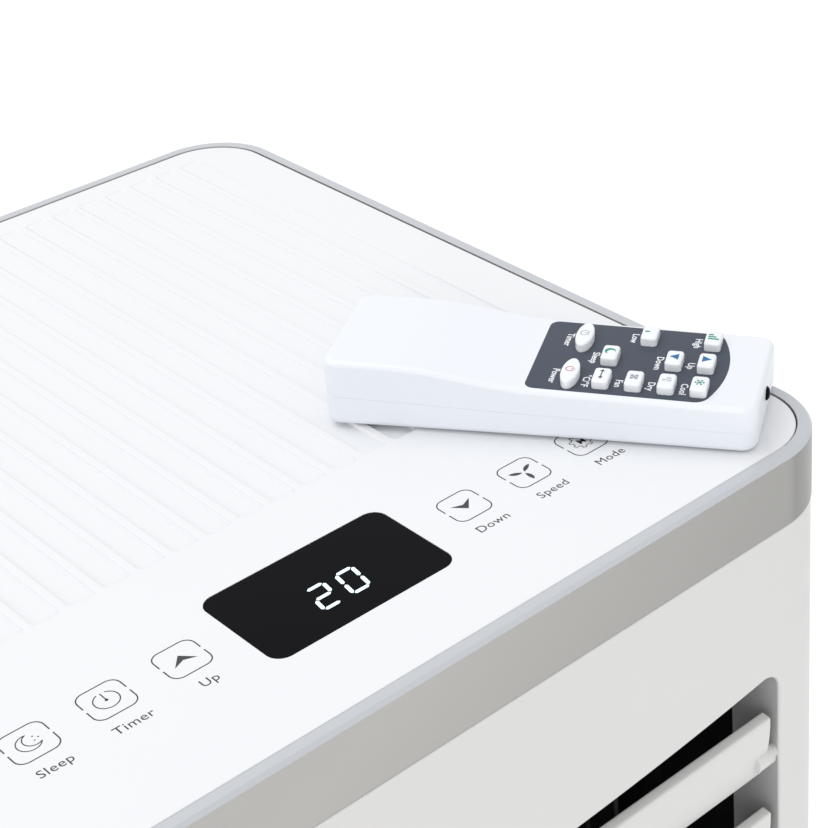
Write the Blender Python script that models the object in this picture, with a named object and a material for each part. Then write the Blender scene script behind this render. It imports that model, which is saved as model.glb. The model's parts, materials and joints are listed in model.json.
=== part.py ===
"""A portable air conditioner with its handset lying on the top, as separate named pieces.

Metres, +Z up. The origin is on the floor under the middle of the cabinet, +X is the
user's right and the front faces -Y. Sizes below are written in millimetres times MM.
"""

import math

import bmesh
import bpy
from mathutils import Vector

MM = 0.001
FIT = 0.3 * MM  # running and resting clearance between separate pieces

# Cabinet
WIDTH, DEPTH, HEIGHT = 320 * MM, 330 * MM, 690 * MM
CORNER = 27.5 * MM
BAND_LOW = 665 * MM
COVER_LOW, COVER_TOP = 46 * MM, BAND_LOW - 0.4 * MM
WALL = 2.6 * MM
SEAM_Y = -10 * MM
PANEL_TOP = HEIGHT - 0.3 * MM
BACK = DEPTH / 2

# Air outlet in the front: its top and bottom edges are shallow arcs, nearest at the middle
OUTLET_HALF = 128.5 * MM
OUTLET_TOP, OUTLET_LOW = 603.1 * MM, 478 * MM
OUTLET_SAG = 0.481  # rise of the edge per metre squared from the middle
OUTLET_CORNER = 7 * MM
COLLAR_BACK = -143.5 * MM

# Louvres and the upright vanes behind them
LOUVER_COUNT, LOUVER_PITCH = 3, 40.3 * MM
LOUVER_Y, LOUVER_Z = -161 * MM, 575.9 * MM
LOUVER_HALF = 124 * MM
CRANK = 12 * MM
LOUVER_CRANK_X = -132 * MM
VANE_COUNT, VANE_PITCH, VANE_Y = 4, 52 * MM, -126 * MM
VANE_LOW, VANE_TOP = 483 * MM, 601 * MM

# Air path and refrigeration
BLOWER_Y, BLOWER_Z, BLOWER_R, BLOWER_HALF = 25 * MM, 535 * MM, 46 * MM, 108 * MM
DECK_Z = 372 * MM
FAN_Z, FAN_R = 150 * MM, 58 * MM
DUCT_FRONT, DUCT_BACK = 34 * MM, 88 * MM
PORT_Z, PORT_R = 300 * MM, 58 * MM
COIL_FRONT, COIL_BACK = 92 * MM, 120 * MM
FILTER_Y = 130 * MM
COMPRESSOR = (-85 * MM, -80 * MM)
SUCTION_DROP = (134 * MM, 106 * MM)  # where the suction pipe passes down through the deck

# Grip pockets in the sides, drain and cord gland in the back, sump under the base
HANDLE_Y, HANDLE_Z = (25 * MM, 115 * MM), (600 * MM, 640 * MM)
DRAIN_X, DRAIN_Z = 100 * MM, 62 * MM
GLAND = (128 * MM, 250 * MM)
SUMP_WIDE, SUMP_DEEP, SUMP_LOW = 150 * MM, 170 * MM, 33 * MM

# Casters
CASTER_X, CASTER_Y = 118 * MM, 118 * MM
WHEEL_R, WHEEL_HALF, TRAIL = 18 * MM, 7.5 * MM, 12 * MM

# Handset: its frame's origin is on its top face, +X towards the end with the lamp
HANDSET_AT = (106.8 * MM, -90.3 * MM, HEIGHT + 17.0 * MM)
HANDSET_TURN, HANDSET_PITCH = math.radians(-55.3), math.radians(1.5)
HANDSET_GRIP, HANDSET_NOSE = -68.2 * MM, 66.6 * MM
HANDSET_WIDE, HANDSET_CORNER = 45 * MM, 5 * MM
HANDSET_SEAM = -8.5 * MM
GRIP_SWELL, GRIP_FALL, HANDSET_ARCH = 4.0 * MM, 0.5 * MM, 0.4 * MM
LAMP_Y, LAMP_Z, LAMP_R = -0.5 * MM, -7 * MM, 2.2 * MM
KEY_ROW, KEY_COLUMN, FIRST_ROW = 10 * MM, 13.8 * MM, 48 * MM
KEY_TOP, KEY_FOOT = 3.0 * MM, -2.2 * MM


# Materials

def material(name, colour, roughness, metallic=0.0):
    made = bpy.data.materials.new(name)
    made.use_nodes = True
    shader = made.node_tree.nodes["Principled BSDF"]
    shader.inputs["Base Color"].default_value = (*colour, 1.0)
    shader.inputs["Roughness"].default_value = roughness
    shader.inputs["Metallic"].default_value = metallic
    return made


# Outlines, each a list of points (a, b) going round once

def arc(a, b, radius, start, end, steps):
    """Points round (a, b) from one angle to another, both ends included; angles in degrees."""
    angles = [math.radians(start + (end - start) * i / steps) for i in range(steps + 1)]
    return [(a + radius * math.cos(angle), b + radius * math.sin(angle)) for angle in angles]


def rounded_rect(width, depth, radius, steps=4):
    points = []
    for corner, (side_a, side_b) in enumerate(((1, 1), (-1, 1), (-1, -1), (1, -1))):
        a, b = side_a * (width / 2 - radius), side_b * (depth / 2 - radius)
        points += arc(a, b, radius, 90 * corner, 90 * corner + 90, steps)
    return points


def circle(radius, a=0.0, b=0.0, sides=24, phase=0.0):
    angles = [phase + 2 * math.pi * i / sides for i in range(sides)]
    return [(a + radius * math.cos(angle), b + radius * math.sin(angle)) for angle in angles]


def rectangle(low_a, high_a, low_b, high_b):
    return [(low_a, low_b), (high_a, low_b), (high_a, high_b), (low_a, high_b)]


def outlet_outline(margin, across=9, corner_steps=4):
    """The air outlet seen from the front, grown by margin."""
    half, radius = OUTLET_HALF + margin, OUTLET_CORNER + margin
    reach = half - radius
    quarter = []
    for step in range(across):
        x = reach * step / across
        quarter.append((x, OUTLET_SAG * x * x))
    drop = OUTLET_SAG * reach * reach
    for step in range(corner_steps + 1):
        angle = math.radians(90 - 90 * step / corner_steps)
        quarter.append((reach + radius * math.cos(angle), drop - radius + radius * math.sin(angle)))
    high, low = OUTLET_TOP + margin, OUTLET_LOW - margin
    right = [(x, high + z) for x, z in quarter] + [(x, low - z) for x, z in reversed(quarter)]
    left = [(-x, z) for x, z in reversed(right) if x > 0]
    return right + left


# Solids. Each of these returns a new bmesh.

def placed(axis, a, b, along):
    """A point from its two outline values and its place along the axis."""
    return {"X": (along, a, b), "Y": (a, along, b), "Z": (a, b, along)}[axis]


def lofted(loops, close_round=False):
    """A skin through loops of 3-D points, capped at both ends unless it closes on itself."""
    bm = bmesh.new()
    rings = [[bm.verts.new(point) for point in loop] for loop in loops]
    count = len(rings[0])
    pairs = list(zip(rings, rings[1:]))
    if close_round:
        pairs.append((rings[-1], rings[0]))
    else:
        bm.faces.new(rings[0])
        bm.faces.new(rings[-1])
    for first, second in pairs:
        for i in range(count):
            j = (i + 1) % count
            bm.faces.new((first[i], first[j], second[j], second[i]))
    bmesh.ops.recalc_face_normals(bm, faces=bm.faces)
    return bm


def prism(outline, low, high, axis="Z"):
    return lofted([[placed(axis, a, b, along) for a, b in outline] for along in (low, high)])


def box(low, high):
    return prism(rectangle(low[0], high[0], low[1], high[1]), low[2], high[2])


def rod(radius, low, high, axis="Z", centre=(0.0, 0.0), sides=16):
    return prism(circle(radius, *centre, sides=sides), low, high, axis)


def turned(profile, axis="Z", centre=(0.0, 0.0), sides=24, hollow=False, flats=False):
    """A solid of revolution from (radius, along) points; hollow leaves the middle open.

    With flats, the facets and not the corners between them lie at the radius, one at the bottom.
    """
    grow = 1 / math.cos(math.pi / sides) if flats else 1.0
    phase = math.pi / sides if flats else 0.0
    loops = [
        [placed(axis, a, b, along) for a, b in circle(radius * grow, *centre, sides, phase)]
        for radius, along in profile
    ]
    return lofted(loops, close_round=hollow)


def stacked(profile, close_round=False):
    """Rounded cabinet outlines (inset, height) joined one to the next."""
    loops = []
    for inset, z in profile:
        radius = max(CORNER - inset, 1 * MM)
        outline = rounded_rect(WIDTH - 2 * inset, DEPTH - 2 * inset, radius)
        loops.append([(x, y, z) for x, y in outline])
    return lofted(loops, close_round)


def gathered(parts):
    """Separate shapes in one bmesh, for use as a single cutter."""
    whole = bmesh.new()
    for part in parts:
        mesh = bpy.data.meshes.new("gathered")
        part.to_mesh(mesh)
        part.free()
        whole.from_mesh(mesh)
        bpy.data.meshes.remove(mesh)
    return whole


def shaped(base, joins=(), cuts=(), common=()):
    """The base after its exact Boolean unions, cuts and intersections."""
    helpers = []

    def helper(bm):
        mesh = bpy.data.meshes.new("helper")
        bm.to_mesh(mesh)
        bm.free()
        helpers.append(bpy.data.objects.new("helper", mesh))
        bpy.context.scene.collection.objects.link(helpers[-1])
        return helpers[-1]

    body = helper(base)
    for operation, tools in (("INTERSECT", common), ("UNION", joins), ("DIFFERENCE", cuts)):
        for tool in tools:
            modifier = body.modifiers.new(operation.title(), "BOOLEAN")
            modifier.operation = operation
            modifier.solver = "EXACT"
            modifier.object = helper(tool)
    bpy.context.view_layer.update()
    evaluated = body.evaluated_get(bpy.context.evaluated_depsgraph_get())
    result = bmesh.new()
    result.from_mesh(evaluated.to_mesh())
    evaluated.to_mesh_clear()
    for obj in helpers:
        bpy.data.objects.remove(obj, do_unlink=True)
    return result


def add(name, bm, finish, origin=(0.0, 0.0, 0.0), parent=None, smooth=35):
    """The named piece, with its own origin placed at the given point."""
    bmesh.ops.translate(bm, verts=bm.verts, vec=-Vector(origin))
    mesh = bpy.data.meshes.new(name)
    bm.to_mesh(mesh)
    bm.free()
    mesh.materials.clear()
    mesh.materials.append(finish)
    mesh.shade_smooth()
    mesh.set_sharp_from_angle(angle=math.radians(smooth))
    obj = bpy.data.objects.new(name, mesh)
    bpy.context.scene.collection.objects.link(obj)
    obj.parent = parent
    obj.location = origin
    return obj


# Cabinet shells

def build_trim_band(finish):
    rim, ledge, low_ledge = 4.5 * MM, 9 * MM, HEIGHT - 6 * MM
    profile = [
        (0, BAND_LOW), (0, HEIGHT - 1.1 * MM), (0.9 * MM, HEIGHT), (rim, HEIGHT),
        (rim, PANEL_TOP - 3.3 * MM), (ledge, PANEL_TOP - 3.3 * MM), (ledge, low_ledge),
        (3 * MM, low_ledge), (3 * MM, BAND_LOW),
    ]
    add("trim_band", stacked(profile, close_round=True), finish)


def cover_ring():
    outer = 0.3 * MM
    profile = [
        (outer, COVER_LOW), (outer, COVER_TOP), (outer + WALL, COVER_TOP), (outer + WALL, COVER_LOW),
    ]
    return stacked(profile, close_round=True)


def build_front_cover(finish):
    collar = prism(outlet_outline(2.5 * MM), -DEPTH / 2 + 1.5 * MM, COLLAR_BACK, "Y")
    keep = box((-WIDTH, -DEPTH, 0), (WIDTH, SEAM_Y - FIT, HEIGHT))
    pivots = [
        rod(2.9 * MM, low, high, "X", (LOUVER_Y, LOUVER_Z - i * LOUVER_PITCH), 12)
        for i in range(LOUVER_COUNT)
        for low, high in ((LOUVER_CRANK_X - 2.6 * MM, -120 * MM), (120 * MM, 131.5 * MM))
    ]
    opening = prism(outlet_outline(0), -DEPTH / 2 - 5 * MM, COLLAR_BACK + 5 * MM, "Y")
    cuts = [opening, gathered(pivots)]
    add("front_cover", shaped(cover_ring(), joins=[collar], cuts=cuts, common=[keep]), finish)


def grille_slots(low, high, slot=4.5 * MM, pitch=10 * MM):
    """Two columns of long horizontal slots through the back wall."""
    count = int((high - low) / pitch)
    slots = []
    for i in range(count):
        z = low + i * pitch
        for side in (-1, 1):
            inner, outer = side * 3 * MM, side * 108 * MM
            slots.append(box(
                (min(inner, outer), BACK - 8 * MM, z), (max(inner, outer), BACK + 5 * MM, z + slot)
            ))
    return gathered(slots)


def build_rear_cover(finish):
    keep = box((-WIDTH, SEAM_Y + FIT, 0), (WIDTH, DEPTH, HEIGHT))
    filter_slot = box(
        (140 * MM, FILTER_Y - 4.8 * MM, 394 * MM), (WIDTH, FILTER_Y + 4.8 * MM, 636 * MM)
    )
    cuts = [
        grille_slots(402 * MM, 632 * MM), grille_slots(84 * MM, 222 * MM),
        rod(PORT_R + 6 * MM, BACK - 10 * MM, BACK + 5 * MM, "Y", (0, PORT_Z), 32),
        rod(11.5 * MM, BACK - 10 * MM, BACK + 5 * MM, "Y", (DRAIN_X, DRAIN_Z), 16),
        rod(7.4 * MM, BACK - 10 * MM, BACK + 5 * MM, "Y", GLAND, 16),
        filter_slot,
    ]
    cuts += [
        box(
            (min(side * 130 * MM, side * WIDTH), HANDLE_Y[0], HANDLE_Z[0]),
            (max(side * 130 * MM, side * WIDTH), HANDLE_Y[1], HANDLE_Z[1]),
        )
        for side in (-1, 1)
    ]
    add("rear_cover", shaped(cover_ring(), cuts=cuts, common=[keep]), finish)


def build_handles(finish):
    """The grip pockets let into the sides."""
    for name, side in (("handle_left", -1), ("handle_right", 1)):
        outer, inner = side * (WIDTH / 2 - 0.5 * MM), side * 134 * MM
        low, high = min(outer, inner), max(outer, inner)
        y0, y1, z0, z1 = HANDLE_Y[0], HANDLE_Y[1], HANDLE_Z[0], HANDLE_Z[1]
        shell = box((low, y0 + FIT, z0 + FIT), (high, y1 - FIT, z1 - FIT))
        wall = 2.5 * MM
        mouth = sorted((inner + side * wall, side * WIDTH))
        pocket = box((mouth[0], y0 + wall, z0 + wall), (mouth[1], y1 - wall, z1 - wall))
        add(name, shaped(shell, cuts=[pocket]), finish)


def build_top_panel(panel_finish, window_finish):
    inset, thick = 4.9 * MM, 3 * MM
    panel = stacked([(inset, PANEL_TOP - thick), (inset, PANEL_TOP)])
    wide, deep = 62.6 * MM, 37.8 * MM
    centre_y = -113 * MM
    hole = [(x, y + centre_y) for x, y in rounded_rect(wide, deep, 5 * MM, 4)]
    gap = 0.15 * MM
    glass = [
        (x, y + centre_y) for x, y in rounded_rect(wide - 2 * gap, deep - 2 * gap, 4.85 * MM, 4)
    ]
    recess = PANEL_TOP - 2.1 * MM
    add("top_panel", shaped(panel, cuts=[prism(hole, recess, HEIGHT)]), panel_finish)
    add("display_window", prism(glass, recess + FIT, PANEL_TOP), window_finish)


def build_base_tray(finish):
    floor = 48 * MM
    profile = [
        (1.5 * MM, 40 * MM), (0.3 * MM, 42 * MM), (0.3 * MM, COVER_LOW - 0.4 * MM),
        (3.3 * MM, COVER_LOW - 0.4 * MM), (3.3 * MM, 76 * MM), (6 * MM, 76 * MM), (6 * MM, floor),
    ]
    spots = [(x, y) for x in (-CASTER_X, CASTER_X) for y in (-CASTER_Y, CASTER_Y)]
    bosses = [rod(9 * MM, floor - 2 * MM, 64 * MM, "Z", spot, 12) for spot in spots]
    stand = rod(30 * MM, floor - 2 * MM, 84 * MM, "Z", COMPRESSOR, 20)
    sockets = [rod(4.4 * MM, 30 * MM, 60 * MM, "Z", spot, 12) for spot in spots]
    drain = rod(6.4 * MM, 150 * MM, BACK, "Y", (DRAIN_X, DRAIN_Z), 16)
    sump = prism(rounded_rect(SUMP_WIDE, SUMP_DEEP, 12 * MM), SUMP_LOW, floor - 4 * MM)
    wall = 3 * MM
    well = prism(
        rounded_rect(SUMP_WIDE - 2 * wall, SUMP_DEEP - 2 * wall, 9 * MM), SUMP_LOW + wall, floor + wall
    )
    tray = shaped(stacked(profile), joins=[sump], cuts=[well])
    add("base_tray", shaped(tray, joins=bosses + [stand], cuts=sockets + [drain]), finish)


# Louvres

def louver_section(steps=6):
    """Cross-section of one blade: (y, z), leaning forward and bowed towards the front."""
    top_z, low_z = 18.0 * MM, -7.8 * MM
    front, back = [], []
    for i in range(steps + 1):
        t = i / steps
        z = top_z + (low_z - top_z) * t
        y = -3.8 * MM + 4.4 * MM * t * t
        thick = (4.0 - 1.0 * t) * MM
        front.append((LOUVER_Y + y, LOUVER_Z + z))
        back.append((LOUVER_Y + y + thick, LOUVER_Z + z + 0.6 * MM))
    return front + back[::-1]


def build_louvers(finish, link_finish):
    axis = (LOUVER_Y, LOUVER_Z)
    crank_at = (LOUVER_Y + CRANK, LOUVER_Z)
    arm_outline = rectangle(
        LOUVER_Y, LOUVER_Y + CRANK + 2.5 * MM, LOUVER_Z - 2.2 * MM, LOUVER_Z + 2.2 * MM
    )
    blade = shaped(
        prism(louver_section(), -LOUVER_HALF, LOUVER_HALF, "X"),
        joins=[
            rod(3.9 * MM, LOUVER_HALF - 6 * MM, LOUVER_HALF + 2.6 * MM, "X", axis, 12),
            rod(2.6 * MM, LOUVER_HALF - 5 * MM, LOUVER_HALF + 6.5 * MM, "X", axis, 12),
            rod(3.9 * MM, -LOUVER_HALF - 2.6 * MM, -LOUVER_HALF + 6 * MM, "X", axis, 12),
            rod(2.6 * MM, LOUVER_CRANK_X - 2 * MM, -LOUVER_HALF + 5 * MM, "X", axis, 12),
            prism(arm_outline, LOUVER_CRANK_X - 2.2 * MM, LOUVER_CRANK_X, "X"),
            rod(1.6 * MM, LOUVER_CRANK_X - 7 * MM, LOUVER_CRANK_X - 1 * MM, "X", crank_at, 10),
        ],
    )
    for i in range(LOUVER_COUNT):
        copy = blade.copy()
        drop = i * LOUVER_PITCH
        bmesh.ops.translate(copy, verts=copy.verts, vec=(0, 0, -drop))
        add(f"louver_{i + 1}", copy, finish, (0, LOUVER_Y, LOUVER_Z - drop))
    blade.free()
    y, z = crank_at
    low = z - (LOUVER_COUNT - 1) * LOUVER_PITCH
    bar = prism(
        rectangle(y - 4 * MM, y + 4 * MM, low - 5 * MM, z + 5 * MM),
        LOUVER_CRANK_X - 5.6 * MM, LOUVER_CRANK_X - 3.2 * MM, "X",
    )
    holes = [
        rod(1.9 * MM, LOUVER_CRANK_X - 10 * MM, LOUVER_CRANK_X, "X", (y, z - i * LOUVER_PITCH), 10)
        for i in range(LOUVER_COUNT)
    ]
    add("louver_link", shaped(bar, cuts=holes), link_finish, (LOUVER_CRANK_X - 4.4 * MM, y, z))


def vane_places():
    first = -(VANE_COUNT - 1) / 2 * VANE_PITCH
    return [first + i * VANE_PITCH for i in range(VANE_COUNT)]


def build_vanes(finish, link_finish):
    crank_y = VANE_Y + CRANK
    for i, x in enumerate(vane_places()):
        plate = rectangle(x - 1 * MM, x + 1 * MM, VANE_Y - 14 * MM, VANE_Y + 16 * MM)
        joins = [
            rod(2 * MM, VANE_LOW - 10 * MM, VANE_TOP + 5 * MM, "Z", (x, VANE_Y), 10),
            rod(1.5 * MM, VANE_LOW - 6 * MM, VANE_LOW + 2 * MM, "Z", (x, crank_y), 10),
        ]
        vane = shaped(prism(plate, VANE_LOW, VANE_TOP), joins=joins)
        add(f"vane_{i + 1}", vane, finish, (x, VANE_Y, (VANE_LOW + VANE_TOP) / 2))
    ends = vane_places()[0] - 6 * MM, vane_places()[-1] + 6 * MM
    low, high = VANE_LOW - 5 * MM, VANE_LOW - 2.6 * MM
    bar = prism(rectangle(*ends, crank_y - 4 * MM, crank_y + 4 * MM), low, high)
    holes = [rod(1.8 * MM, low - 2 * MM, high + 2 * MM, "Z", (x, crank_y), 10) for x in vane_places()]
    add("vane_link", shaped(bar, cuts=holes), link_finish, (vane_places()[0], crank_y, low))


# Air path

def build_outlet_duct(finish):
    """Black duct from the blower's mouth to the outlet collar, with the vanes' bearings."""
    front, neck, mouth = COLLAR_BACK + 0.5 * MM, -106 * MM, -36 * MM
    inner = [
        (front, (-131 * MM, 131 * MM, 474 * MM, 604 * MM)),
        (neck, (-131 * MM, 131 * MM, 474 * MM, 604 * MM)),
        (mouth, (-111 * MM, 111 * MM, 492 * MM, 580 * MM)),
    ]
    skin = 3 * MM
    outer = [
        (y, (a - skin, b + skin, c - skin, d + skin)) for y, (a, b, c, d) in reversed(inner)
    ]
    loops = [[(a, y, b) for a, b in rectangle(*sides)] for y, sides in inner + outer]
    bearings = [
        rod(2.4 * MM, 460 * MM, 620 * MM, "Z", (x, VANE_Y), 10) for x in vane_places()
    ]
    add("outlet_duct", shaped(lofted(loops, close_round=True), cuts=[gathered(bearings)]), finish)


def build_blower(wheel_finish, housing_finish, motor_finish):
    centre = (BLOWER_Y, BLOWER_Z)
    blades, root, tip = 16, BLOWER_R - 9 * MM, BLOWER_R
    outline = []
    for i in range(blades):
        for share, radius in ((0.0, root), (0.15, tip), (0.42, tip), (0.57, root)):
            angle = 2 * math.pi * (i + share) / blades
            outline.append((centre[0] + radius * math.cos(angle), centre[1] + radius * math.sin(angle)))
    wheel = shaped(
        prism(outline, -BLOWER_HALF, BLOWER_HALF, "X"),
        joins=[
            rod(BLOWER_R + 0.5 * MM, -BLOWER_HALF - 1 * MM, -BLOWER_HALF + 2 * MM, "X", centre, 24),
            rod(BLOWER_R + 0.5 * MM, BLOWER_HALF - 2 * MM, BLOWER_HALF + 1 * MM, "X", centre, 24),
            rod(4 * MM, -132 * MM, 114 * MM, "X", centre, 12),
        ],
    )
    add("blower_wheel", wheel, wheel_finish, (0, BLOWER_Y, BLOWER_Z))

    outer_r, inner_r = 54.5 * MM, 52 * MM
    steps, first, last = 11, math.radians(-150), math.radians(15)
    sweep = [first + (last - first) * i / steps for i in range(steps + 1)]
    guide = [(centre[0] + outer_r * math.cos(t), centre[1] + outer_r * math.sin(t)) for t in sweep]
    guide += [(centre[0] + inner_r * math.cos(t), centre[1] + inner_r * math.sin(t)) for t in sweep[::-1]]
    ends = [
        rod(56 * MM, side * 113 * MM - 1.4 * MM, side * 113 * MM + 1.4 * MM, "X", centre, 28)
        for side in (-1, 1)
    ]
    housing = shaped(
        prism(guide, -113 * MM, 113 * MM, "X"), joins=ends,
        cuts=[rod(4.4 * MM, -120 * MM, 120 * MM, "X", centre, 12)],
    )
    add("blower_housing", housing, housing_finish)

    can = turned(
        [(30 * MM, -152 * MM), (33 * MM, -149 * MM), (33 * MM, -120 * MM), (28 * MM, -116 * MM)],
        "X", centre, 20,
    )
    bore = rod(4.4 * MM, -134 * MM, -110 * MM, "X", centre, 12)
    add("blower_motor", shaped(can, cuts=[bore]), motor_finish)


def finned_block(low, high, fins=16):
    """A coil block whose upright fins show as grooves on its back face."""
    pitch = (high[0] - low[0]) / fins
    outline = [(low[0], low[1]), (high[0], low[1])]
    for i in range(fins):
        right = high[0] - i * pitch
        outline += [
            (right, high[1]), (right - pitch * 0.55, high[1]),
            (right - pitch * 0.55, high[1] - 5 * MM), (right - pitch * 0.999, high[1] - 5 * MM),
        ]
    outline[-1] = (low[0], high[1] - 5 * MM)
    return prism(outline, low[2], high[2])


def build_coils(finish):
    for name, low, high in (
        ("evaporator_coil", 392 * MM, 632 * MM), ("condenser_coil", 78 * MM, 222 * MM),
    ):
        block = finned_block((-118 * MM, COIL_FRONT, low), (118 * MM, COIL_BACK, high))
        add(name, block, finish)


def build_deck(finish):
    """The drip tray that parts the cold side from the warm side."""
    low, high = (-152 * MM, -88 * MM, DECK_Z), (152 * MM, 123 * MM, DECK_Z + 14 * MM)
    wall = 2.5 * MM
    cavity = box(
        (low[0] + wall, low[1] + wall, low[2] + wall), (high[0] - wall, high[1] - wall, high[2] + wall)
    )
    passage = rod(7 * MM, DECK_Z - wall, DECK_Z + 2 * wall, "Z", SUCTION_DROP, 12)
    add("deck_tray", shaped(box(low, high), cuts=[cavity, passage]), finish)


def duct_outline(half, low, top, steps=10):
    """Straight-sided duct with a half-round bottom about the fan."""
    points = [(half, top), (-half, top)]
    for i in range(steps + 1):
        angle = math.pi + math.pi * i / steps
        points.append((half * math.cos(angle), FAN_Z + (FAN_Z - low) * math.sin(angle)))
    return points


def build_exhaust(duct_finish, fan_finish, motor_finish, collar_finish):
    half, low, top, wall = 70 * MM, 80 * MM, 362 * MM, 2.4 * MM
    hollow = prism(
        duct_outline(half - wall, low + wall, top - wall), DUCT_FRONT + wall, DUCT_BACK - wall, "Y"
    )
    holes = [
        rod(46 * MM, DUCT_BACK - 5 * MM, DUCT_BACK + 2 * MM, "Y", (0, FAN_Z), 28),
        rod(PORT_R - 2 * MM, DUCT_BACK - 5 * MM, DUCT_BACK + 2 * MM, "Y", (0, PORT_Z), 28),
        rod(6 * MM, DUCT_FRONT - 2 * MM, DUCT_FRONT + 5 * MM, "Y", (0, FAN_Z), 12),
    ]
    shell = prism(duct_outline(half, low, top), DUCT_FRONT, DUCT_BACK, "Y")
    add("exhaust_duct", shaped(shell, cuts=[hollow] + holes), duct_finish)

    blades, y0, y1 = 12, DUCT_FRONT + 8 * MM, DUCT_BACK - 8 * MM
    outline = []
    for i in range(blades):
        for share, radius in ((0.0, 40 * MM), (0.2, FAN_R), (0.45, FAN_R), (0.6, 40 * MM)):
            angle = 2 * math.pi * (i + share) / blades
            outline.append((radius * math.cos(angle), FAN_Z + radius * math.sin(angle)))
    wheel = shaped(
        prism(outline, y0, y1, "Y"),
        joins=[rod(FAN_R + 0.4 * MM, y0 - 2 * MM, y0 + 1 * MM, "Y", (0, FAN_Z), 24),
               rod(4 * MM, 14 * MM, y0, "Y", (0, FAN_Z), 12)],
        cuts=[rod(34 * MM, y0 + 3 * MM, y1 + 3 * MM, "Y", (0, FAN_Z), 20)],
    )
    add("condenser_fan", wheel, fan_finish, (0, (y0 + y1) / 2, FAN_Z))

    can = turned(
        [(30 * MM, -14 * MM), (34 * MM, -10 * MM), (34 * MM, 28 * MM), (26 * MM, 32 * MM)],
        "Y", (0, FAN_Z), 20,
    )
    add("fan_motor", shaped(can, cuts=[rod(4.4 * MM, 12 * MM, 40 * MM, "Y", (0, FAN_Z), 12)]), motor_finish)

    start, end = DUCT_BACK + 0.4 * MM, BACK - 0.5 * MM
    collar = turned(
        [(PORT_R - 2.4 * MM, start), (PORT_R, start), (PORT_R, end - 2.4 * MM),
         (PORT_R + 5.6 * MM, end - 2.4 * MM), (PORT_R + 5.6 * MM, end), (PORT_R - 2.4 * MM, end)],
        "Y", (0, PORT_Z), 32, hollow=True,
    )
    add("exhaust_collar", collar, collar_finish)


def build_compressor(finish):
    profile = [
        (24 * MM, 84.4 * MM), (50 * MM, 92 * MM), (50 * MM, 250 * MM), (46 * MM, 260 * MM),
        (34 * MM, 267 * MM), (12 * MM, 270 * MM),
    ]
    add("compressor", turned(profile, "Z", COMPRESSOR, 24), finish)


def smooth_route(route, per_leg):
    """Points of a Catmull-Rom curve through the route's points."""
    knots = [Vector(point) for point in route]
    knots = [2 * knots[0] - knots[1]] + knots + [2 * knots[-1] - knots[-2]]
    points = []
    for a, b, c, d in zip(knots, knots[1:], knots[2:], knots[3:]):
        for step in range(per_leg):
            t = step / per_leg
            points.append(0.5 * (
                2 * b + (c - a) * t + (2 * a - 5 * b + 4 * c - d) * t * t
                + (3 * b - a - 3 * c + d) * t ** 3
            ))
    return points + [knots[-2]]


def build_pipes(finish):
    x, y = COMPRESSOR
    drop_x, drop_y = SUCTION_DROP
    routes = {
        "suction_pipe": [
            (119.4 * MM, drop_y, 426 * MM), (126 * MM, drop_y, 426 * MM), (drop_x, drop_y, 410 * MM),
            (drop_x, drop_y, 372 * MM), (drop_x - 4 * MM, drop_y - 14 * MM, 340 * MM),
            (104 * MM, 20 * MM, 352 * MM), (20 * MM, -40 * MM, 352 * MM),
            (x + 22 * MM, y + 10 * MM, 330 * MM), (x + 4 * MM, y, 300 * MM), (x + 4 * MM, y, 270.6 * MM),
        ],
        "discharge_pipe": [
            (x - 30 * MM, y, 268.6 * MM), (x - 30 * MM, y, 286 * MM), (x - 32 * MM, y + 20 * MM, 305 * MM),
            (-132 * MM, -20 * MM, 300 * MM), (-134 * MM, 60 * MM, 260 * MM),
            (-134 * MM, 104 * MM, 220 * MM), (-127 * MM, 106 * MM, 204 * MM),
            (-119.4 * MM, 106 * MM, 204 * MM),
        ],
    }
    for name, route in routes.items():
        curve = bpy.data.curves.new(name, "CURVE")
        curve.dimensions = "3D"
        curve.bevel_depth = 4 * MM
        curve.bevel_resolution = 2
        curve.use_fill_caps = True
        spline = curve.splines.new("POLY")
        points = smooth_route(route, 3)
        spline.points.add(len(points) - 1)
        for slot, point in zip(spline.points, points):
            slot.co = (*point, 1.0)
        curve.materials.append(finish)
        obj = bpy.data.objects.new(name, curve)
        bpy.context.scene.collection.objects.link(obj)


def build_boards(finish):
    y = -140 * MM
    board = box((44 * MM, y, 232 * MM), (150 * MM, y + 1.8 * MM, 352 * MM))
    parts = [
        box((56 * MM, y + 1 * MM, 300 * MM), (86 * MM, y + 26 * MM, 338 * MM)),
        box((104 * MM, y + 1 * MM, 312 * MM), (126 * MM, y + 18 * MM, 340 * MM)),
        rod(12 * MM, 242 * MM, 288 * MM, "Z", (70 * MM, y + 13 * MM), 16),
        box((100 * MM, y + 1 * MM, 246 * MM), (140 * MM, y + 12 * MM, 262 * MM)),
    ]
    add("control_board", shaped(board, joins=parts), finish)
    low = 676 * MM
    plate = box((-134 * MM, -134 * MM, low), (134 * MM, -92 * MM, low + 1.8 * MM))
    lamp = box((-27 * MM, -130 * MM, low + 1 * MM), (27 * MM, -97 * MM, 685.5 * MM))
    add("display_board", shaped(plate, joins=[lamp]), finish)


# Pieces that come out of the back and side

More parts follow.
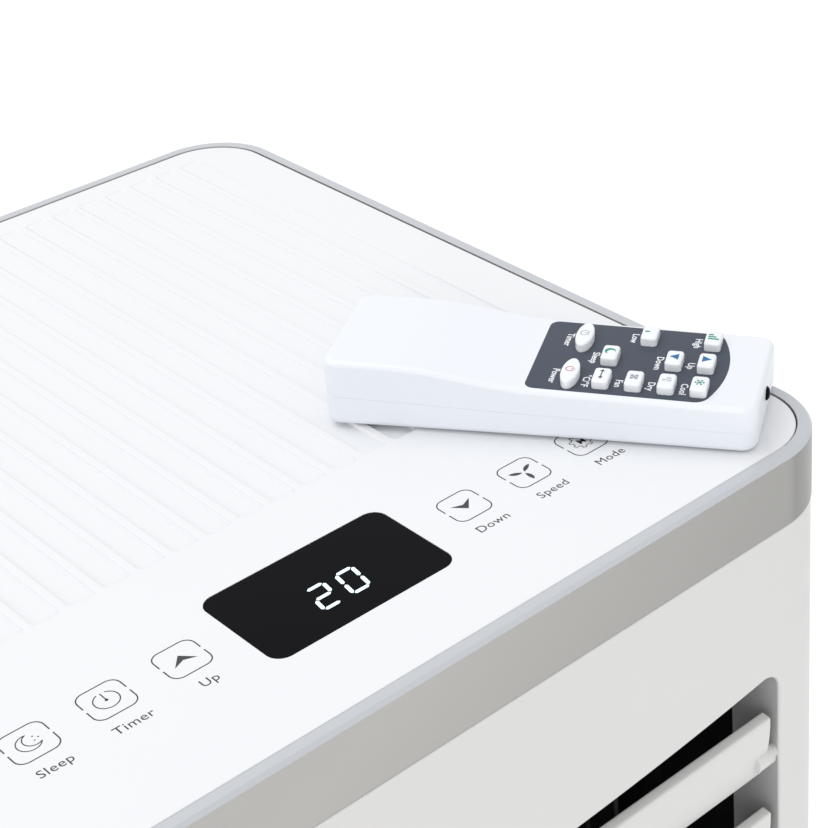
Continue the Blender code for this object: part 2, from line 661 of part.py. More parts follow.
def build_air_filter(finish):
    low, high = 396 * MM, 634 * MM
    y0, y1 = FILTER_Y - 3 * MM, FILTER_Y + 3 * MM
    frame = box((-116 * MM, y0, low), (150 * MM, y1, high))
    pull = box((148 * MM, FILTER_Y - 4.3 * MM, low), (WIDTH / 2 - 0.4 * MM, FILTER_Y + 4.3 * MM, high))
    columns, rows, bar = 4, 4, 4 * MM
    step_x, step_z = 236 * MM / columns, (high - low - bar) / rows
    windows = []
    for i in range(columns):
        for j in range(rows):
            x, z = -112 * MM + i * step_x, low + bar + j * step_z
            windows.append(box((x, y0 - bar, z), (x + step_x - bar, y0 + 4.8 * MM, z + step_z - bar)))
    add("air_filter", shaped(frame, joins=[pull], cuts=[gathered(windows)]), finish)


def build_drain_and_gland(plug_finish, gland_finish):
    head = BACK - 0.5 * MM
    plug = turned(
        [(6.1 * MM, 152 * MM), (6.1 * MM, head - 2.2 * MM), (11 * MM, head - 2.2 * MM), (11 * MM, head)],
        "Y", (DRAIN_X, DRAIN_Z), 16,
    )
    add("drain_plug", plug, plug_finish, (DRAIN_X, head, DRAIN_Z))
    gland = turned(
        [(4.2 * MM, 150 * MM), (7 * MM, 150 * MM), (7 * MM, head), (4.2 * MM, head)],
        "Y", GLAND, 16, hollow=True,
    )
    add("cord_gland", gland, gland_finish)


# Casters

def build_casters(fork_finish, wheel_finish):
    gap = 1.2 * MM
    for name, side_x, side_y in (
        ("front_left", -1, -1), ("front_right", 1, -1), ("rear_left", -1, 1), ("rear_right", 1, 1),
    ):
        x, y = side_x * CASTER_X, side_y * CASTER_Y
        axle = (y + TRAIL, WHEEL_R)
        cheek = [
            (y - 9 * MM, 38 * MM), (y - 8 * MM, 32 * MM), (y + 6 * MM, 12 * MM), (y + 16 * MM, 11 * MM),
            (y + 20 * MM, 20 * MM), (y + 14 * MM, 38 * MM),
        ]
        inner, outer = WHEEL_HALF + gap, WHEEL_HALF + gap + 2.6 * MM
        fork = shaped(
            rod(16 * MM, 36.8 * MM, 39.4 * MM, "Z", (x, y), 20),
            joins=[
                prism(cheek, x - outer, x - inner, "X"), prism(cheek, x + inner, x + outer, "X"),
                rod(4 * MM, 38 * MM, 58 * MM, "Z", (x, y), 12),
                rod(3 * MM, x - outer + 0.2 * MM, x + outer - 0.2 * MM, "X", axle, 12),
            ],
        )
        add(f"caster_fork_{name}", fork, fork_finish, (x, y, 38 * MM))
        tread = WHEEL_HALF - 2 * MM
        wheel = turned(
            [(3.3 * MM, x - WHEEL_HALF), (9 * MM, x - WHEEL_HALF), (WHEEL_R - 2 * MM, x - WHEEL_HALF),
             (WHEEL_R, x - tread), (WHEEL_R, x + tread), (WHEEL_R - 2 * MM, x + WHEEL_HALF),
             (9 * MM, x + WHEEL_HALF), (3.3 * MM, x + WHEEL_HALF)],
            "X", axle, 20, hollow=True, flats=True,
        )
        add(f"caster_wheel_{name}", wheel, wheel_finish, (x, *axle))


# Handset

def handset_plan(inset):
    middle = (HANDSET_GRIP + HANDSET_NOSE) / 2
    length = HANDSET_NOSE - HANDSET_GRIP - 2 * inset
    outline = rounded_rect(length, HANDSET_WIDE - 2 * inset, HANDSET_CORNER - inset, 5)
    return [(x + middle, y) for x, y in outline]


def handset_side(inset, steps=8):
    """Side view (x, z): flat under the keys, a swell over the grip, a slightly arched underside."""
    grip, back, nose = -2 * MM, HANDSET_GRIP - 1 * MM, HANDSET_NOSE + 1 * MM
    crest = 0.65  # share of the grip's length at which the swell is highest
    upper = [(nose, 0.0), (grip, 0.0)]
    for i in range(1, steps + 1):
        t = i / steps
        rise = (1 - math.cos(math.pi * min(t / crest, 1.0))) / 2
        fall = max((t - crest) / (1 - crest), 0.0) ** 2
        upper.append((grip + (back - grip) * t, GRIP_SWELL * rise - GRIP_FALL * fall))
    lower = []
    for i in range(steps + 1):
        t = i / steps
        x = back + (nose - back) * t
        rest = PANEL_TOP + FIT - HANDSET_AT[2] + x * math.tan(HANDSET_PITCH)
        lower.append((x, rest + HANDSET_ARCH * math.sin(math.pi * t)))
    return [(x, z - inset) for x, z in upper] + [(x, z + inset) for x, z in lower]


def handset_block(inset, low, high):
    body = prism(handset_side(inset), -HANDSET_WIDE, HANDSET_WIDE, "Y")
    return shaped(body, common=[prism(handset_plan(inset), low, high)])


def keypad_outline(inset):
    """Slate key field: square end towards the grip, bowed end towards the lamp."""
    left, tip, half, bow = -4.8 * MM + inset, 54.7 * MM - inset, 20.4 * MM - inset, 5 * MM
    small, large = 3 * MM, 4.5 * MM
    sweep = (half * half + bow * bow) / (2 * bow)
    reach = math.sqrt((sweep - large) ** 2 - (half - large) ** 2)
    turn = math.degrees(math.atan2(half - large, reach))
    middle = tip - sweep
    points = arc(middle, 0.0, sweep, -turn, turn, 4)[1:-1]
    points += arc(middle + reach, half - large, large, turn, 90, 4)
    points += arc(left + small, half - small, small, 90, 180, 4)
    points += arc(left + small, small - half, small, 180, 270, 4)
    return points + arc(middle + reach, large - half, large, 270, 360 - turn, 4)


# Each key: name, row from the lamp end, column offset (+1 is the user's left), wide oval or not
KEYS = (
    ("key_high", 0, 1.0, False), ("key_up", 0, 0.0, False), ("key_cool", 0, -1.0, False),
    ("key_down", 1, 0.0, False), ("key_dry", 1, -1.0, False), ("key_low", 2, 1.0, False),
    ("key_fan", 2, -1.0, False), ("key_sleep", 3, 0.0, False), ("key_unit", 3, -1.0, False),
    ("key_timer", 4, 0.7, True), ("key_power", 4, -0.9, True),
)


def key_outline(row, column, oval, grow=0.0):
    x, y = FIRST_ROW - row * KEY_ROW, column * KEY_COLUMN
    if oval:
        half_a, half_b = 2.8 * MM + grow, 7.0 * MM + grow
        turn = 2 * math.pi / 20
        return [(x + half_a * math.cos(i * turn), y + half_b * math.sin(i * turn)) for i in range(20)]
    wide, deep = 5.2 * MM + 2 * grow, 8.2 * MM + 2 * grow
    return [(x + a, y + b) for a, b in rounded_rect(wide, deep, 1.2 * MM + grow, 3)]


def build_handset(shell_finish, plate_finish, key_finish, window_finish):
    frame = bpy.data.objects.new("handset_frame", None)
    bpy.context.scene.collection.objects.link(frame)
    frame.location = HANDSET_AT
    frame.rotation_euler = (0, HANDSET_PITCH, HANDSET_TURN)

    far = 40 * MM
    wall = 1.8 * MM
    key_holes = gathered([
        prism(key_outline(row, column, oval, FIT), -6 * MM, far) for _, row, column, oval in KEYS
    ])
    lamp_hole = (LAMP_R + FIT, HANDSET_NOSE - 6 * MM, HANDSET_NOSE + 5 * MM, "X", (LAMP_Y, LAMP_Z))
    upper = shaped(
        handset_block(0, HANDSET_SEAM + FIT / 2, far),
        cuts=[
            handset_block(wall, -far, far),
            prism(keypad_outline(-0.2 * MM), -0.8 * MM, far), key_holes, rod(*lamp_hole),
        ],
    )
    add("remote_top", upper, shell_finish, parent=frame)

    hatch_end, hatch_half = -6 * MM, 15 * MM
    hatch_top, beyond = -12 * MM, HANDSET_GRIP - far
    hatch_hole = prism(rectangle(beyond, hatch_end, -hatch_half, hatch_half), -far, hatch_top)
    lower = shaped(
        handset_block(0, -far, HANDSET_SEAM - FIT / 2),
        cuts=[handset_block(wall, -far, far), hatch_hole, rod(*lamp_hole)],
    )
    add("remote_bottom", lower, shell_finish, parent=frame)

    hatch_span = rectangle(beyond, hatch_end - FIT, -hatch_half + FIT, hatch_half - FIT)
    hatch = shaped(
        handset_block(0, -far, hatch_top - FIT),
        cuts=[handset_block(wall, -far, far)],
        common=[prism(hatch_span, -far, far)],
    )
    add("battery_cover", hatch, shell_finish, (-30 * MM, 0, -17 * MM), parent=frame)

    plate_holes = gathered([
        prism(key_outline(row, column, oval, FIT), -far, far) for _, row, column, oval in KEYS
    ])
    plate = shaped(prism(keypad_outline(0), -0.5 * MM, 0.1 * MM), cuts=[plate_holes])
    add("keypad_plate", plate, plate_finish, parent=frame)
    dome = [
        (LAMP_R, HANDSET_NOSE - 3.5 * MM), (LAMP_R, HANDSET_NOSE + 0.3 * MM),
        (0.75 * LAMP_R, HANDSET_NOSE + 0.8 * MM), (0.35 * LAMP_R, HANDSET_NOSE + 1 * MM),
    ]
    window = turned(dome, "X", (LAMP_Y, LAMP_Z), 16)
    add("ir_window", window, window_finish, parent=frame)

    for name, row, column, oval in KEYS:
        outline = key_outline(row, column, oval)
        x, y = FIRST_ROW - row * KEY_ROW, column * KEY_COLUMN
        shrink = [(x + (a - x) * 0.93, y + (b - y) * 0.93) for a, b in outline]
        loops = [
            [(a, b, KEY_FOOT) for a, b in outline], [(a, b, KEY_TOP - 0.5 * MM) for a, b in outline],
            [(a, b, KEY_TOP) for a, b in shrink],
        ]
        add(name, lofted(loops), key_finish, (x, y, KEY_FOOT), frame)


def main():
    for obj in list(bpy.data.objects):
        bpy.data.objects.remove(obj, do_unlink=True)

    white = material("white_shell", (0.80, 0.80, 0.79), 0.35)
    silver = material("silver_band", (0.48, 0.47, 0.45), 0.32, 0.6)
    gloss_white = material("gloss_white_panel", (0.86, 0.87, 0.88), 0.15)
    black_glass = material("black_window", (0.01, 0.01, 0.012), 0.06)
    black_plastic = material("black_plastic", (0.015, 0.015, 0.016), 0.5)
    grey_plastic = material("grey_plastic", (0.45, 0.45, 0.46), 0.5)
    fins = material("coil_aluminium", (0.65, 0.66, 0.67), 0.35, 1.0)
    copper = material("copper_pipe", (0.72, 0.38, 0.22), 0.3, 1.0)
    black_steel = material("painted_can", (0.03, 0.03, 0.032), 0.4)
    motor_steel = material("motor_steel", (0.55, 0.55, 0.56), 0.35, 0.9)
    board_green = material("board_green", (0.02, 0.16, 0.07), 0.45)
    soft_black = material("soft_black_rubber", (0.02, 0.02, 0.02), 0.7)
    handset_white = material("handset_white", (0.82, 0.85, 0.90), 0.28)
    slate = material("keypad_slate", (0.09, 0.10, 0.13), 0.4)
    key_white = material("key_white", (0.85, 0.87, 0.90), 0.3)

    build_trim_band(silver)
    build_front_cover(white)
    build_rear_cover(white)
    build_handles(white)
    build_top_panel(gloss_white, black_glass)
    build_base_tray(white)
    build_louvers(white, black_plastic)
    build_vanes(black_plastic, grey_plastic)
    build_outlet_duct(black_plastic)
    build_blower(black_plastic, grey_plastic, motor_steel)
    build_coils(fins)
    build_deck(grey_plastic)
    build_exhaust(grey_plastic, black_plastic, motor_steel, white)
    build_compressor(black_steel)
    build_pipes(copper)
    build_boards(board_green)
    build_air_filter(grey_plastic)
    build_drain_and_gland(grey_plastic, soft_black)
    build_casters(grey_plastic, soft_black)
    build_handset(handset_white, slate, key_white, black_glass)


main()
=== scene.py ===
"""Looks of the portable air conditioner and its handset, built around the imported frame.

Metres, +Z up, the front faces -Y. Every piece takes its place from the frame's nodes.
"""

import json
import math

import bmesh
import bpy
from mathutils import Matrix, Vector


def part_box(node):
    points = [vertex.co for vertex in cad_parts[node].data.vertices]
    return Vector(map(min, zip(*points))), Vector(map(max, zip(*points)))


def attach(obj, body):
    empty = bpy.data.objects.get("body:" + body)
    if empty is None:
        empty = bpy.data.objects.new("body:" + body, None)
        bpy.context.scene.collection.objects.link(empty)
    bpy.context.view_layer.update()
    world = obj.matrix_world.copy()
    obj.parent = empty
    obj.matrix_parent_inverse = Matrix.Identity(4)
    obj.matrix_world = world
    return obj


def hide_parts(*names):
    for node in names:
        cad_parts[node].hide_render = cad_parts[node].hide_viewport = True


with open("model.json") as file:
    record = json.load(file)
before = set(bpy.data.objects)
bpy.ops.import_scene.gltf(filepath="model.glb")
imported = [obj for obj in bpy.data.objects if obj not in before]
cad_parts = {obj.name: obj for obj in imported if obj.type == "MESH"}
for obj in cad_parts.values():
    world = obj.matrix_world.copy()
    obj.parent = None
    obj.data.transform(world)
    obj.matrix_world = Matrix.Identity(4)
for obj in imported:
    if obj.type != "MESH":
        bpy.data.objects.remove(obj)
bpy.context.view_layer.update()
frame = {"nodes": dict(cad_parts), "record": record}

MM = 0.001
GAP = 0.3 * MM
CAPITAL_SHARE = 0.73  # a capital's height over the font's size
BARE_METAL, METAL_ROUGHNESS = 0.9, 0.34

# Cabinet, from the frame's boxes
BAND_LOW_CORNER, BAND_HIGH_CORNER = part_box("trim_band")
HALF_WIDTH, HALF_DEPTH = BAND_HIGH_CORNER.x, BAND_HIGH_CORNER.y
HEIGHT, BAND_LOW = BAND_HIGH_CORNER.z, BAND_LOW_CORNER.z
CORNER, CORNER_STEPS = 27.5 * MM, 20
COVER_INSET, WALL = 0.3 * MM, 2.6 * MM
COVER_LOW, COVER_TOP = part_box("front_cover")[0].z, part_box("front_cover")[1].z
SEAM_FRONT, SEAM_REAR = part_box("front_cover")[1].y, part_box("rear_cover")[0].y
PANEL_LOW, PANEL_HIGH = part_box("top_panel")
PANEL_TOP = PANEL_HIGH.z

# Air outlet: shallow arcs along the top and bottom
OUTLET_HALF, OUTLET_TOP, OUTLET_LOW = 128.5 * MM, 603.1 * MM, 478 * MM
OUTLET_SAG, OUTLET_CORNER, COLLAR_BACK = 0.481, 7 * MM, -143.5 * MM
OUTLET_LIP, COLLAR_WALL = 1.3 * MM, 2.5 * MM
LOUVER_Y = -161 * MM

# Ribbed field of the top panel
RIB_PITCH, RIB_COUNT, RIB_LAND = 11.4 * MM, 24, 2.2 * MM
FLUTE_DEPTH, FLUTE_EDGE, FLUTE_CORNER = 1.1 * MM, 0.45 * MM, 2.0 * MM
FLUTE_FRONT, FLUTE_BACK = -69.7 * MM, 150 * MM

# Handset frame: origin on its top face, +X towards the end with the lamp
HANDSET_AT = Vector((106.8, -90.3, 707.0)) * MM
HANDSET_TURN, HANDSET_PITCH = math.radians(-55.3), math.radians(1.5)
HANDSET = (
    Matrix.Translation(HANDSET_AT)
    @ Matrix.Rotation(HANDSET_TURN, 4, "Z")
    @ Matrix.Rotation(HANDSET_PITCH, 4, "Y")
)
HANDSET_GRIP, HANDSET_NOSE = -68.2 * MM, 66.6 * MM
HANDSET_WIDE, HANDSET_CORNER, HANDSET_SEAM = 45 * MM, 5 * MM, -8.5 * MM
HANDSET_WALL = 1.8 * MM
LAMP_AT, LAMP_R = (-0.5 * MM, -7 * MM), 2.2 * MM
HATCH_END, HATCH_HALF, HATCH_TOP = -6 * MM, 15 * MM, -12 * MM
KEY_ROW, KEY_COLUMN, FIRST_ROW = 10 * MM, 13.8 * MM, 48 * MM
KEY_TOP, KEY_FOOT = 3.0 * MM, -2.2 * MM
PRINT = 0.03 * MM

# Grip pockets in the sides
HANDLE_LOW, HANDLE_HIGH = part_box("handle_right")
HANDLE_SIZE = (HANDLE_HIGH.y - HANDLE_LOW.y, HANDLE_HIGH.z - HANDLE_LOW.z)
HANDLE_CORNER, HANDLE_WALL = 7 * MM, 2.4 * MM

# Vanes, casters and the frame of the filter
VANE_PIVOT_Y, VANE_CRANK = -126 * MM, 12 * MM
CASTER_SPOT, CASTER_TRAIL = 118 * MM, 12 * MM
TRAY_UNDERSIDE, TRAY_FLOOR = 40 * MM, 48 * MM
FILTER_COLUMNS, FILTER_ROWS, FILTER_BAR, NET_PITCH = 4, 4, 4 * MM, 2.0 * MM

# Seven-segment figures: each segment's two ends on a cell one wide and one tall
SEGMENTS = {
    "top": ((0.0, 1.0), (1.0, 1.0)), "high_right": ((1.0, 1.0), (1.0, 0.5)),
    "low_right": ((1.0, 0.5), (1.0, 0.0)), "base": ((0.0, 0.0), (1.0, 0.0)),
    "low_left": ((0.0, 0.5), (0.0, 0.0)), "high_left": ((0.0, 1.0), (0.0, 0.5)),
    "middle": ((0.0, 0.5), (1.0, 0.5)),
}
DIGITS = {
    "2": ("top", "high_right", "middle", "low_left", "base"),
    "0": ("top", "high_right", "low_right", "base", "low_left", "high_left"),
}

# Handset keys: node, row from the lamp end, column (+1 is the far side), wide oval, label
KEYS = (
    ("key_high", 0, 1.0, False, "High"), ("key_up", 0, 0.0, False, "Up"),
    ("key_cool", 0, -1.0, False, "Cool"), ("key_down", 1, 0.0, False, "Down"),
    ("key_dry", 1, -1.0, False, "Dry"), ("key_low", 2, 1.0, False, "Low"),
    ("key_fan", 2, -1.0, False, "Fan"), ("key_sleep", 3, 0.0, False, "Sleep"),
    ("key_unit", 3, -1.0, False, "°C/°F"), ("key_timer", 4, 0.7, True, "Timer"),
    ("key_power", 4, -0.9, True, "Power"),
)

# Viewpoint and lights; angles in degrees
CAMERA_AT = (-0.2559, -0.5102, 1.0292)
AZIMUTH, ELEVATION, ROLL = 43.43, 30.19, -2.43
LENS, LENS_SHIFT = 89.99, (-0.267, -0.0753)
LIGHT_TARGET = (0.0, 0.0, 0.6)
LIGHTS = (("overhead", (-0.5, 1.2, 2.9), 2.2, 20.0), ("front_left", (-2.2, -2.0, 1.9), 1.8, 19.0))


# ---------------------------------------------------------------- materials

def tree_of(material):
    tree = material.node_tree
    return tree, tree.nodes["Principled BSDF"]


def new_material(name):
    material = bpy.data.materials.new(name)
    material.use_nodes = True
    return material, *tree_of(material)


def spread(tree, source, low, high, start=0.35, end=0.65):
    """A value between start and end mapped to a number between low and high."""
    node = tree.nodes.new("ShaderNodeMapRange")
    node.inputs["From Min"].default_value = start
    node.inputs["From Max"].default_value = end
    node.inputs["To Min"].default_value = low
    node.inputs["To Max"].default_value = high
    tree.links.new(source, node.inputs["Value"])
    return node.outputs["Result"]


def noise(tree, scale, detail=2.0):
    """Solid noise in the object's own metres; scale is in cells per metre."""
    place = tree.nodes.new("ShaderNodeTexCoord")
    node = tree.nodes.new("ShaderNodeTexNoise")
    node.inputs["Scale"].default_value = scale
    node.inputs["Detail"].default_value = detail
    tree.links.new(place.outputs["Object"], node.inputs["Vector"])
    return node.outputs["Fac"]


def coloured(tree, shader, factor, first, second):
    """Base colour that runs from first to second; first None keeps the colour linked so far."""
    mix = tree.nodes.new("ShaderNodeMix")
    mix.data_type = "RGBA"
    if first:
        mix.inputs["A"].default_value = (*first, 1.0)
    else:
        tree.links.new(shader.inputs["Base Color"].links[0].from_socket, mix.inputs["A"])
    mix.inputs["B"].default_value = (*second, 1.0)
    tree.links.new(factor, mix.inputs["Factor"])
    tree.links.new(mix.outputs["Result"], shader.inputs["Base Color"])


def bumped(tree, shader, height, depth):
    """Fine relief; depth is in millimetres."""
    bump = tree.nodes.new("ShaderNodeBump")
    bump.inputs["Distance"].default_value = depth * MM
    bump.inputs["Strength"].default_value = 1.0
    tree.links.new(height, bump.inputs["Height"])
    tree.links.new(bump.outputs["Normal"], shader.inputs["Normal"])


def moulded(name, colour, roughness, drift=0.015, grain=900.0, depth=0.004, metallic=0.0,
            specular=0.5, coat=0.0, coat_roughness=0.1, uneven=0.08):
    """Moulded, painted or cast material with drifting colour, uneven gloss and a fine grain."""
    material, tree, shader = new_material(name)
    shader.inputs["Metallic"].default_value = metallic
    shader.inputs["Specular IOR Level"].default_value = specular
    shader.inputs["Coat Weight"].default_value = coat
    shader.inputs["Coat Roughness"].default_value = coat_roughness
    dark = [max(c * (1 - drift), 0.0) for c in colour]
    light = [min(c * (1 + drift), 1.0) for c in colour]
    coloured(tree, shader, spread(tree, noise(tree, 14.0), 0.0, 1.0), dark, light)
    low, high = roughness * (1 - uneven), roughness * (1 + uneven)
    tree.links.new(spread(tree, noise(tree, 60.0, 3.0), low, high), shader.inputs["Roughness"])
    bumped(tree, shader, noise(tree, grain), depth)
    material.diffuse_color = (*colour, 1.0)
    return material


def printed(name, colour, roughness=0.45, drift=0.05):
    return moulded(name, colour, roughness, drift, 2500.0, 0.001)


def flop_with_painted_shade(material, colour, painted_shade_share):
    """Flake paint's flop and painted shade: darker where the surface turns away from the eye, standing in
    for the dimmer reflection there.
    """
    tree, shader = tree_of(material)
    facing = tree.nodes.new("ShaderNodeLayerWeight")
    facing.inputs["Blend"].default_value = 0.5
    turn = spread(tree, facing.outputs["Facing"], 0.0, 1.0, 0.36, 0.52)
    coloured(tree, shader, turn, None, [c * painted_shade_share for c in colour])
    return material


def glowing(name, colour, strength):
    """Light from a segment of the display, a little uneven."""
    material = moulded(name, colour, 0.4)
    tree, shader = tree_of(material)
    shader.inputs["Emission Color"].default_value = (*colour, 1.0)
    level = spread(tree, noise(tree, 420.0), strength * 0.93, strength * 1.07)
    tree.links.new(level, shader.inputs["Emission Strength"])
    return material


def striped(name, dark, light, pitch, axis, depth):
    """Bare metal with even stripes across an axis, as on coil fins and wound wire."""
    material, tree, shader = new_material(name)
    shader.inputs["Metallic"].default_value = BARE_METAL
    place = tree.nodes.new("ShaderNodeTexCoord")
    wave = tree.nodes.new("ShaderNodeTexWave")
    wave.bands_direction = axis
    wave.inputs["Scale"].default_value = math.pi / (10 * (pitch * MM))
    wave.inputs["Distortion"].default_value = 0.0
    tree.links.new(place.outputs["Object"], wave.inputs["Vector"])
    coloured(tree, shader, wave.outputs["Fac"], dark, light)
    gloss = spread(tree, noise(tree, 80.0), METAL_ROUGHNESS * 0.85, METAL_ROUGHNESS * 1.15)
    tree.links.new(gloss, shader.inputs["Roughness"])
    bumped(tree, shader, wave.outputs["Fac"], depth)
    return material


WHITE = moulded("shell_white", (0.665, 0.66, 0.645), 0.36, 0.006, 1400.0, 0.003)
# Painted shade: a darker copy of the shell's white for the collar inside the air outlet.
COLLAR_PAINTED_SHADE = moulded("shell_white_painted_shade", (0.50, 0.495, 0.495), 0.4, 0.01, 1400.0, 0.003)
BAND_COLOUR = (0.44, 0.432, 0.412)
# Painted shade on the band: its silver darkens where its faces turn away from the eye.
SILVER = flop_with_painted_shade(moulded("band_silver", BAND_COLOUR, 0.34, 0.01, 5200.0, 0.004, metallic=0.35,
                         coat=0.15, coat_roughness=0.12), BAND_COLOUR, 0.6)
PANEL = moulded("panel_gloss_white", (0.80, 0.81, 0.825), 0.16, 0.003, 700.0, 0.0015,
                specular=0.45)
# Painted light: a lighter, cooler copy of the band's silver for its upward faces along the top.
RIM_PAINTED_LIGHT = moulded("rim_silver_painted_light", (0.55, 0.57, 0.60), 0.3, 0.01, 5200.0, 0.003, metallic=0.3,
              coat=0.3, coat_roughness=0.1)
WINDOW = moulded("window_black", (0.006, 0.006, 0.007), 0.08, 0.05, 300.0, 0.0005,
                 specular=0.03)
BLACK = moulded("plastic_black", (0.012, 0.012, 0.013), 0.5, 0.08, 1200.0, 0.006,
                specular=0.3)
GREY = moulded("plastic_grey", (0.40, 0.40, 0.41), 0.48, 0.03, 1100.0, 0.006)
FINS = striped("coil_fins", (0.30, 0.31, 0.32), (0.72, 0.73, 0.74), 1.8, "X", 0.1)
COPPER = moulded("pipe_copper", (0.72, 0.36, 0.20), 0.3, 0.12, 500.0, 0.01, metallic=1.0)
CAN = moulded("can_paint", (0.022, 0.022, 0.024), 0.36, 0.1, 800.0, 0.02, coat=0.3)
STEEL = striped("motor_steel", (0.36, 0.36, 0.37), (0.58, 0.58, 0.59), 0.8, "Y", 0.02)
BOARD = moulded("board_green", (0.02, 0.15, 0.07), 0.38, 0.25, 260.0, 0.02, coat=0.4)
RUBBER = moulded("rubber_black", (0.022, 0.022, 0.022), 0.72, 0.15, 1500.0, 0.02,
                 specular=0.25)
HANDSET_WHITE = moulded("handset_white", (0.80, 0.825, 0.87), 0.3, 0.002, 1000.0, 0.001,
                        uneven=0.02)
SLATE = moulded("keypad_slate", (0.050, 0.062, 0.088), 0.42, 0.05, 1600.0, 0.003,
                specular=0.3)
KEY_WHITE = moulded("key_white", (0.84, 0.86, 0.885), 0.3, 0.01, 900.0, 0.002)
INK = printed("print_dark", (0.03, 0.032, 0.036), 0.5, 0.15)
LABEL = printed("print_white", (0.88, 0.89, 0.91), 0.5, 0.03)
BLUE = printed("print_blue", (0.004, 0.135, 0.34))
GREEN = printed("print_green", (0.01, 0.29, 0.19))
RED = printed("print_red", (0.55, 0.16, 0.15))
SOFT_GREY = printed("print_grey", (0.32, 0.34, 0.38), 0.5)
GLOW = glowing("segment_glow", (0.62, 0.78, 0.84), 0.85)
NET = moulded("filter_net", (0.20, 0.21, 0.22), 0.6, 0.1, 1500.0, 0.01)

SLOT_FINISH = {
    "white_shell": WHITE, "silver_band": SILVER, "gloss_white_panel": PANEL,
    "black_window": WINDOW, "black_plastic": BLACK, "grey_plastic": GREY,
    "coil_aluminium": FINS, "copper_pipe": COPPER, "painted_can": CAN, "motor_steel": STEEL,
    "board_green": BOARD, "soft_black_rubber": RUBBER, "handset_white": HANDSET_WHITE,
    "keypad_slate": SLATE, "key_white": KEY_WHITE,
}


BODIES = {
    node: body for body, nodes in frame["record"]["behaviour"]["bodies"].items() for node in nodes
}
SLOTS = {entry["node"]: entry["material_slot"] for entry in frame["record"]["subparts"]}


# ---------------------------------------------------------------- outlines

def arc(centre, radius, start, end, steps):
    """Points along an arc, both ends included; angles in degrees."""
    angles = [math.radians(start + (end - start) * i / steps) for i in range(steps + 1)]
    return [(centre[0] + radius * math.cos(a), centre[1] + radius * math.sin(a)) for a in angles]


def rounded_rect(width, depth, radius, steps=8, centre=(0.0, 0.0)):
    points = []
    for corner, (side_a, side_b) in enumerate(((1, 1), (-1, 1), (-1, -1), (1, -1))):
        middle = (
            centre[0] + side_a * (width / 2 - radius), centre[1] + side_b * (depth / 2 - radius)
        )
        points += arc(middle, radius, 90 * corner, 90 * corner + 90, steps)
    return points


def rectangle(left, right, low, high):
    return [(left, low), (right, low), (right, high), (left, high)]


def circle(radius, centre=(0.0, 0.0), sides=32):
    return arc(centre, radius, 0, 360 - 360 / sides, sides - 1)


def filleted(points, radius, steps=4, closed=True):
    """The outline with its corners rounded; radius is one value, or one for each point."""
    radii = radius if isinstance(radius, (list, tuple)) else [radius] * len(points)
    made = []
    for i, corner in enumerate(points):
        if radii[i] <= 0 or (not closed and i in (0, len(points) - 1)):
            made.append(tuple(corner))
            continue
        here = Vector(corner)
        before = Vector(points[i - 1]) - here
        after = Vector(points[(i + 1) % len(points)]) - here
        reach = radii[i] / math.tan(before.angle(after) / 2)
        reach = min(reach, before.length * 0.49, after.length * 0.49)
        start, end = here + before.normalized() * reach, here + after.normalized() * reach
        for step in range(steps + 1):
            t = step / steps
            made.append(tuple(start * (1 - t) ** 2 + here * 2 * t * (1 - t) + end * t * t))
    return made


def outlet_outline(margin, across=18, corner_steps=10):
    """The air outlet seen from the front, grown by margin."""
    half, radius = OUTLET_HALF + margin, OUTLET_CORNER + margin
    reach = half - radius
    quarter = [(reach * i / across, OUTLET_SAG * (reach * i / across) ** 2) for i in range(across)]
    drop = OUTLET_SAG * reach * reach
    quarter += arc((reach, drop - radius), radius, 90, 0, corner_steps)
    high, low = OUTLET_TOP + margin, OUTLET_LOW - margin
    right = [(x, high + z) for x, z in quarter] + [(x, low - z) for x, z in reversed(quarter)]
    return right + [(-x, z) for x, z in reversed(right) if x > 0]


# ---------------------------------------------------------------- mesh making

def on_axis(axis, a, b, along):
    return {"X": (along, a, b), "Y": (a, along, b), "Z": (a, b, along)}[axis]


def mm(*lengths):
    return tuple(length * MM for length in lengths)


def level(outline, z):
    """A plan outline at one height."""
    return [(x, y, z) for x, y in outline]


def centre_of(node, *axes):
    """Middle of a frame node's box along the given axes: 0, 1 and 2 are x, y and z."""
    low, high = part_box(node)
    return tuple((low[i] + high[i]) / 2 for i in axes)


def ring_of(bm, points):
    return [bm.verts.new(point) for point in points]


def bridge(bm, first, second):
    """Quads between two loops of the same length."""
    for i in range(len(first)):
        j = (i + 1) % len(first)
        bm.faces.new((first[i], first[j], second[j], second[i]))


def fill(bm, loops, normal):
    """A flat face inside the first loop with the others as holes, sharing their vertices."""
    edges = []
    for loop in loops:
        for first, second in zip(loop, loop[1:] + loop[:1]):
            edges.append(bm.edges.get((first, second)) or bm.edges.new((first, second)))
    bmesh.ops.triangle_fill(bm, use_beauty=True, edges=edges, normal=normal)


def skin(bm, loops):
    """A skin through loops of points, open at both ends. Returns its rings of vertices."""
    rings = [ring_of(bm, loop) for loop in loops]
    for first, second in zip(rings, rings[1:]):
        bridge(bm, first, second)
    return rings


def loft(bm, loops, closed=False):
    """A skin through loops of points, capped at both ends unless it closes on itself."""
    rings = skin(bm, loops)
    if closed:
        bridge(bm, rings[-1], rings[0])
    else:
        bm.faces.new(rings[0])
        bm.faces.new(rings[-1])


def prism(bm, outline, low, high, axis="Z"):
    loft(bm, [[on_axis(axis, a, b, along) for a, b in outline] for along in (low, high)])


def turned(bm, profile, axis="Z", centre=(0.0, 0.0), sides=48, closed=False):
    """A solid of revolution from (radius, along) points."""
    loft(bm, [
        [on_axis(axis, a, b, along) for a, b in circle(radius, centre, sides)]
        for radius, along in profile
    ], closed)


